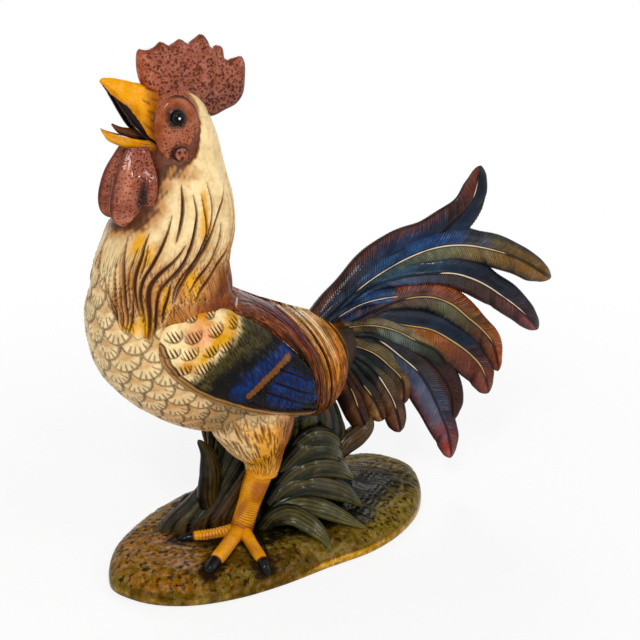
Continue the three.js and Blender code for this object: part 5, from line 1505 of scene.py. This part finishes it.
# For each feather: five glazes along the vane above its rib and five along the one below, the outer edge of each
# vane, and the part of the rib that was wiped clean, as its two ends from 0 to 1 and its colour
PAINT = {
    "tail_sickle_upper": (
        [(70, 56, 52), (42, 46, 58), (26, 44, 76), (28, 32, 42), (92, 42, 32)],
        [(36, 48, 66), (30, 54, 86), (24, 54, 98), (22, 38, 62), (26, 30, 40)],
        (92, 52, 40), (26, 38, 60), (0.86, 0.975), RIB_CREAM),
    "tail_sickle_main": (
        [(42, 44, 58), (30, 64, 98), (26, 60, 108), (88, 74, 40), (112, 80, 32)],
        [(34, 52, 72), (46, 70, 74), (104, 104, 76), (128, 96, 50), (122, 84, 36)],
        (30, 36, 40), (48, 44, 30), (0.13, 0.78), RIB_CREAM),
    "tail_sickle_low": (
        [(34, 52, 78), (46, 74, 94), (16, 30, 50), (22, 28, 38), (62, 48, 54)],
        [(30, 62, 104), (70, 86, 114), (62, 50, 44), (68, 42, 36), (116, 64, 66)],
        (14, 20, 32), (54, 30, 26), (0.42, 0.93), RIB_CREAM),
    "tail_feather_orange": (
        [(38, 56, 84), (86, 62, 58), (116, 62, 40), (110, 76, 34), (158, 74, 26)],
        [(44, 40, 46), (82, 58, 50), (100, 100, 74), (72, 52, 32), (116, 52, 18)],
        (158, 72, 28), (32, 24, 18), (0.3, 0.88), RIB_TAN),
    "tail_feather_drooping": (
        [(38, 40, 46), (34, 38, 44), (56, 46, 44), (56, 64, 88), (122, 56, 46)],
        [(34, 34, 42), (38, 48, 60), (76, 84, 108), (94, 92, 112), (156, 64, 52)],
        (52, 34, 30), (90, 40, 34), (0.2, 0.5), RIB_CREAM),
    "tail_feather_brown": (
        [(92, 76, 72), (30, 40, 52), (18, 30, 50), (20, 32, 52), (114, 56, 38)],
        [(70, 58, 46), (98, 86, 60), (158, 90, 40), (96, 50, 30), (124, 60, 48)],
        (16, 20, 32), (80, 40, 26), (0.3, 0.95), RIB_TAN),
    "tail_covert_olive": (
        [(92, 74, 50), (104, 86, 64), (118, 112, 84), (134, 104, 58), (86, 44, 18)],
        [(126, 82, 30), (80, 66, 34), (98, 108, 100), (56, 62, 48), (24, 22, 18)],
        (62, 48, 32), (28, 24, 18), (0.12, 0.66), RIB_TAN),
    "tail_covert_brown": (
        [(156, 106, 52), (108, 86, 48), (90, 82, 54), (114, 86, 40), (98, 54, 26)],
        [(46, 38, 30), (20, 28, 32), (22, 28, 32), (62, 48, 28), (102, 60, 32)],
        (58, 44, 26), (18, 16, 14), (0.06, 0.78), RIB_TAN),
    "tail_covert_tan": (
        [(46, 38, 26), (32, 34, 38), (28, 32, 34), (58, 38, 22), (114, 66, 36)],
        [(52, 40, 28), (54, 36, 20), (82, 50, 22), (108, 74, 40), (146, 104, 58)],
        (30, 24, 18), (54, 28, 14), (0.46, 0.66), RIB_TAN),
    "tail_covert_rust": (
        [(92, 50, 22), (82, 38, 18), (66, 30, 14), (58, 30, 14), (70, 40, 20)],
        [(142, 74, 24), (116, 66, 30), (78, 42, 20), (86, 46, 18), (46, 28, 12)],
        (46, 22, 12), (50, 26, 12), (0.42, 0.7), RIB_TAN),
    "tail_covert_slate": (
        [(38, 42, 46), (44, 50, 42), (82, 68, 40), (88, 56, 38), (92, 60, 46)],
        [(28, 34, 32), (42, 46, 44), (56, 46, 38), (104, 66, 40), (98, 52, 36)],
        (26, 24, 20), (50, 30, 22), (0.42, 0.78), RIB_CREAM),
    "tail_covert_blue": (
        [(36, 40, 50), (26, 42, 62), (34, 62, 104), (58, 68, 88), (64, 64, 58)],
        [(36, 46, 68), (38, 62, 104), (48, 80, 126), (70, 102, 142), (92, 104, 116)],
        (22, 28, 38), (26, 34, 52), (0.16, 0.93), RIB_CREAM),
    "tail_feather_inner": (
        [(22, 18, 18), (22, 20, 22), (34, 26, 26), (56, 28, 24), (66, 32, 24)],
        [(26, 22, 22), (38, 28, 24), (62, 34, 28), (70, 36, 28), (58, 32, 28)],
        (18, 12, 12), (22, 14, 12), (0.4, 0.4), RIB_TAN),
}
# Name, width above and below the rib, half thickness, and the places that the rib runs through
TAIL = [
    ("tail_covert_blue", 8, 9, 15, [(-6, 172), (6, 180), (29, 188), (56, 189), (93, 183)]),
    ("tail_covert_olive", 9, 14, 14.5, [(-4, 166), (12, 171), (39, 169), (61, 161), (82, 148), (104, 134), (120, 114)]),
    ("tail_covert_brown", 14, 13, 14, [(-2, 158), (16, 157), (40, 146), (58, 130), (72, 113), (76, 88)]),
    ("tail_covert_tan", 12, 11, 13.6, [(6, 150), (21, 136), (34, 118), (44, 104), (58, 78)]),
    ("tail_covert_rust", 12, 12, 13.2, [(0, 148), (14, 132), (24, 114), (31, 97), (42, 74)]),
    ("tail_covert_slate", 13, 11, 12.8, [(10, 152), (23, 146), (42, 130), (55, 112), (64, 96), (75, 64)]),
    ("tail_sickle_main", 13.5, 17, 12.4,
     [(-4, 178), (15, 192), (40, 207), (67, 218), (94, 224), (122, 223), (152, 215), (183, 202), (222, 178)]),
    ("tail_sickle_low", 16, 14, 11.6,
     [(8, 184), (41, 200), (69, 204), (93, 203), (116, 200), (142, 189), (166, 173), (188, 156), (212, 133)]),
    ("tail_feather_orange", 13, 14, 11,
     [(8, 170), (42, 179), (69, 185), (95, 183), (115, 174), (133, 159), (150, 144), (163, 128), (173, 101)]),
    ("tail_feather_drooping", 16, 16, 10.6,
     [(10, 162), (42, 157), (70, 135), (88, 117), (100, 98), (110, 78), (119, 59), (128, 28)]),
    ("tail_feather_brown", 16, 20, 10.2,
     [(8, 168), (42, 172), (74, 162), (98, 154), (118, 141), (139, 124), (152, 109), (164, 82)]),
    ("tail_sickle_upper", 15, 20, 9.6, [(-8, 174), (16, 195), (40, 213), (66, 225), (94, 230), (116, 241), (134, 256), (144, 284)]),
    ("tail_feather_inner", 16, 18, 8, [(30, 156), (71, 145), (93, 130), (110.5, 111), (121.5, 92), (127.5, 62)]),
]


def feather_glaze(name, upper, lower, upper_edge, lower_edge, rib_colour):
    """A painted feather. Its UV map gives the place along in barbs, and the distance from the rib. Two rows of
    colours run along it, one for each vane, streaked along the barbs. Barbs are scratched to a dark line and the rib
    is wiped to a pale one."""
    material = bpy.data.materials.new(name)
    material.use_nodes = True
    tree = material.node_tree
    tree.nodes.clear()
    place = node(tree, "TexCoord").outputs["Object"]
    flow = node(tree, "UVMap", uv_map="flow").outputs[0]
    drift = node(tree, "TexNoise", {"Vector": place, "Scale": 60.0, "Detail": 3.0}).outputs[0]
    spread = node(tree, "VectorMath", {0: flow, 1: (420.0, 60.0, 1.0)}, operation="MULTIPLY").outputs[0]
    streak = maths(tree, "SUBTRACT", node(tree, "TexNoise", {"Vector": spread, "Scale": 1.0, "Detail": 2.0}).outputs[0], 0.5)
    wander = maths(tree, "ADD", maths(tree, "MULTIPLY", maths(tree, "SUBTRACT", drift, 0.5), 0.25), maths(tree, "MULTIPLY", streak, 0.22))
    tone = maths(tree, "ADD", mark(tree, "tone"), wander)
    vanes = []
    for stops in (lower, upper):
        ramp = node(tree, "ValToRGB", {0: tone})
        elements = ramp.color_ramp.elements
        elements[0].position, elements[0].color = TONES[0], glaze(*stops[0])
        elements[1].position, elements[1].color = TONES[-1], glaze(*stops[-1])
        for position, colour in zip(TONES[1:-1], stops[1:-1]):
            elements.new(position).color = glaze(*colour)
        vanes.append(ramp.outputs[0])
    side = ranged(tree, mark(tree, "vane"), -0.1, 0.1)
    colour = mixed(tree, side, *vanes)
    edge = mixed(tree, side, glaze(*lower_edge), glaze(*upper_edge))
    outer = maths(tree, "ADD", maths(tree, "ABSOLUTE", mark(tree, "vane"), 0.0), maths(tree, "MULTIPLY", streak, 0.9))
    colour = mixed(tree, ranged(tree, outer, 0.5, 0.95, 0.0, 0.85), colour, edge)
    colour = grouped(tree, MOTTLE, {"Colour": colour, "Scale": 110.0, "Strength": 0.8})["Colour"]
    line = grouped(tree, BARBS, {"Flow": flow, "Spacing": BARB_STEP * MM, "Slant": 0.0, "Wander": 0.05})["Line"]
    line = maths(tree, "MULTIPLY", line, mark(tree, "barbed"))
    # Barbs lightened in streaks: partly dry-brushed pale glaze, partly painted glints.
    pale_barbs_and_glints = maths(tree, "MULTIPLY", ranged(tree, streak, -0.04, 0.14, 0.0, 0.6), mark(tree, "barbed"))
    colour = mixed(tree, pale_barbs_and_glints, colour, colour, "ADD")
    colour = mixed(tree, maths(tree, "MULTIPLY", line, 0.92), colour, FEATHER_DARK)
    colour = grouped(tree, POOL, {"Colour": colour, "Pool": FEATHER_DARK, "Mask": mark(tree, "carved"), "Reach": 0.5})["Colour"]
    off = maths(tree, "ABSOLUTE", node(tree, "SeparateXYZ", {0: flow}).outputs[1])
    wiped = maths(tree, "MULTIPLY", ranged(tree, off, 0.0011, 0.0), mark(tree, "rib"))
    rib = grouped(tree, BRUSHED, {"Mask": wiped, "Ragged": 0.3, "Soft": 0.2})["Mask"]
    groove = ranged(tree, off, 0.0022, 0.0008, 0.0, 0.75)
    colour = mixed(tree, groove, colour, FEATHER_DARK)
    colour = mixed(tree, rib, colour, rib_colour)
    skin = node(tree, "TexNoise", {"Vector": place, "Scale": 300.0, "Detail": 2.0}).outputs[0]
    height = maths(tree, "SUBTRACT", maths(tree, "MULTIPLY", skin, 0.3), line)
    height = maths(tree, "ADD", height, ranged(tree, off, 0.0012, 0.0, 0.0, 1.6))
    dent = node(tree, "Bump", {"Height": height, "Strength": 1.0, "Distance": 0.0006})
    shader = node(tree, "BsdfPrincipled", {"Base Color": colour, "Roughness": 0.13, "IOR": 1.5,
                                           "Specular IOR Level": 0.12, "Normal": dent.outputs[0]})
    tree.links.new(shader.outputs[0], node(tree, "OutputMaterial").inputs["Surface"])
    return material


def make_feather(name, above, below, thick, points):
    """A lens across its rib, rounded at the tip. Barbs leave the rib at 45 degrees towards the tip, in uneven locks,
    and a shallow gutter lies on each side of the rib."""
    rows = [
        [0, 0.5 * above, 0.5 * below, 0.95 * thick], [0.15, 0.72 * above, 0.72 * below, thick],
        [0.5, above, below, 0.86 * thick], [0.75, 0.92 * above, 0.92 * below, 0.64 * thick],
        [0.9, 0.74 * above, 0.72 * below, 0.46 * thick], [0.965, 0.46 * above, 0.46 * below, 0.3 * thick],
        [1, 0.3 * above, 0.3 * below, 2],
    ]
    count = 300 if len(points) > 6 else 220
    rings, t, place, run, reach = blade([(x, 0, z) for x, z in points], rows, (0, -1, 0), count, 64)
    side = 40 * (place < 0)
    barb = run - np.abs(reach) + 1.3 * ripple(151, run / 9 + side, place * 1.4)
    wave = np.cos(barb / BARB_STEP * 2 * np.pi)
    lock = ripple(152, barb / 5.5 + side, place * 0.8)
    body = smooth(0.04, 0.16, np.abs(place)) * smooth(1.0, 0.9, t)
    gutter = np.exp(-(((np.abs(place) - 0.2) / 0.14) ** 2))
    slit = smooth(0.55, 0.9, ripple(156, barb / 4.2 + side, place * 0.6)) * smooth(0.3, 0.7, np.abs(place)) * body
    lift = (0.34 * wave + 0.8 * lock - 0.6 * slit) * body - 0.9 * gutter * smooth(1.0, 0.9, t)
    lift += 0.5 * ripple(153, run / 16, place * 2)
    upper, lower, upper_edge, lower_edge, (begin, end), rib_colour = PAINT[name]
    wiped = smooth(begin - 0.03, begin + 0.04, t) * smooth(end + 0.03, end - 0.08, t) * (end > begin)
    marks = {
        "tone": t, "vane": place, "rib": wiped * (0.85 + 0.35 * ripple(154, run / 8)),
        "barbed": body * (0.75 + 0.5 * ripple(155, barb / BARB_STEP + side, run / 20)) * smooth(1.0, 0.96, np.abs(place)),
        # The dark glaze along the outer edge of each vane is a painted shadow line between overlapping feathers.
        "carved": np.maximum.reduce([0.5 * smooth(0.2, 0.8, -lock) * body, 0.8 * slit, 0.75 * smooth(0.84, 1.0, np.abs(place))])
        * smooth(1, 0.96, t),
    }
    material = feather_glaze(f"{name} glaze", upper, lower, upper_edge, lower_edge, rib_colour)
    shell(f"painted_{name}", raised(rings, lift), marks, np.stack([barb, reach], -1), material, name)


for feather in TAIL:
    make_feather(*feather)


# The studio

def lamp(name, place, target, size, power, colour=(1, 1, 1)):
    """A soft square light at a place in metres, turned towards target."""
    light = bpy.data.lights.new(name, "AREA")
    light.size = size
    light.energy = power
    light.color = colour
    holder = bpy.data.objects.new(name, light)
    holder.location = place
    holder.rotation_euler = (Vector(target) - Vector(place)).to_track_quat("-Z", "Y").to_euler()
    bpy.context.scene.collection.objects.link(holder)


def pale_rays(tree):
    """1 for rays from the camera and for those reflected or let through."""
    rays = node(tree, "LightPath").outputs
    seen = maths(tree, "MAXIMUM", rays["Is Camera Ray"], rays["Is Glossy Ray"])
    return maths(tree, "MAXIMUM", seen, rays["Is Transmission Ray"])


def make_studio():
    """A plain pale world and floor, one soft key lamp from the front left, a fill, a rim and three small lamps for
    the glints on the glaze. The floor turns to plain white away from the bird."""
    world = bpy.data.worlds.new("studio")
    bpy.context.scene.world = world
    world.use_nodes = True
    tree = world.node_tree
    tree.nodes.clear()
    seen = node(tree, "Background", {"Color": (1, 1, 1, 1), "Strength": 1.0})
    light = node(tree, "Background", {"Color": (1, 1, 1, 1), "Strength": 0.42})
    both = node(tree, "MixShader", {0: pale_rays(tree), 1: light.outputs[0], 2: seen.outputs[0]})
    tree.links.new(both.outputs[0], node(tree, "OutputWorld").inputs["Surface"])

    mesh = bpy.data.meshes.new("studio_floor")
    mesh.from_pydata([(x, y, -0.0005) for x, y in ((-6, -6), (6, -6), (6, 6), (-6, 6))], [], [(0, 1, 2, 3)])
    material = bpy.data.materials.new("pale floor")
    material.use_nodes = True
    tree = material.node_tree
    tree.nodes.clear()
    matt = node(tree, "BsdfDiffuse", {"Color": (0.82, 0.82, 0.82, 1)})
    shine = node(tree, "Emission", {"Color": (1, 1, 1, 1), "Strength": 1.0})
    place = node(tree, "TexCoord").outputs["Object"]
    far = node(tree, "VectorMath", {0: place}, operation="LENGTH").outputs["Value"]
    share = maths(tree, "MULTIPLY", pale_rays(tree), ranged(tree, far, 0.2, 0.75, 0.8, 1.0))
    both = node(tree, "MixShader", {0: share, 1: matt.outputs[0], 2: shine.outputs[0]})
    tree.links.new(both.outputs[0], node(tree, "OutputMaterial").inputs["Surface"])
    mesh.materials.append(material)
    floor = bpy.data.objects.new("studio_floor", mesh)
    bpy.context.scene.collection.objects.link(floor)
    lamp("key", (-0.8, -1.1, 1.4), (0, 0, 0.2), 0.4, 12)
    lamp("fill", (1.2, -1.0, 0.8), (0, 0, 0.2), 0.9, 5)
    lamp("rim", (0.5, 1.2, 1.2), (0, 0, 0.2), 0.6, 9)
    lamp("glint_left", (-1.1, -0.9, 0.8), (0, 0, 0.2), 0.07, 2.6)
    lamp("glint_front", (-0.2, -1.3, 0.9), (0, 0, 0.2), 0.07, 2.6)
    lamp("glint_right", (0.9, -1.1, 1.1), (0, 0, 0.2), 0.07, 2.6)


def make_camera():
    """The photograph's view: 950 mm from a point 176 mm above the floor, turned by -27 and raised by 20 degrees."""
    camera = bpy.data.cameras.new("photo_view")
    camera.lens = 68.46
    camera.sensor_width = 36
    camera.clip_start = 0.05
    holder = bpy.data.objects.new("photo_view", camera)
    turn, rise = math.radians(-27), math.radians(20)
    back = Vector((math.sin(turn) * math.cos(rise), -math.cos(turn) * math.cos(rise), math.sin(rise)))
    holder.location = Vector((0, 0, 0.176)) + back * 0.95
    holder.rotation_euler = (-back).to_track_quat("-Z", "Y").to_euler()
    bpy.context.scene.collection.objects.link(holder)
    bpy.context.scene.camera = holder


make_studio()
make_camera()
bpy.context.scene.view_settings.view_transform = "Standard"
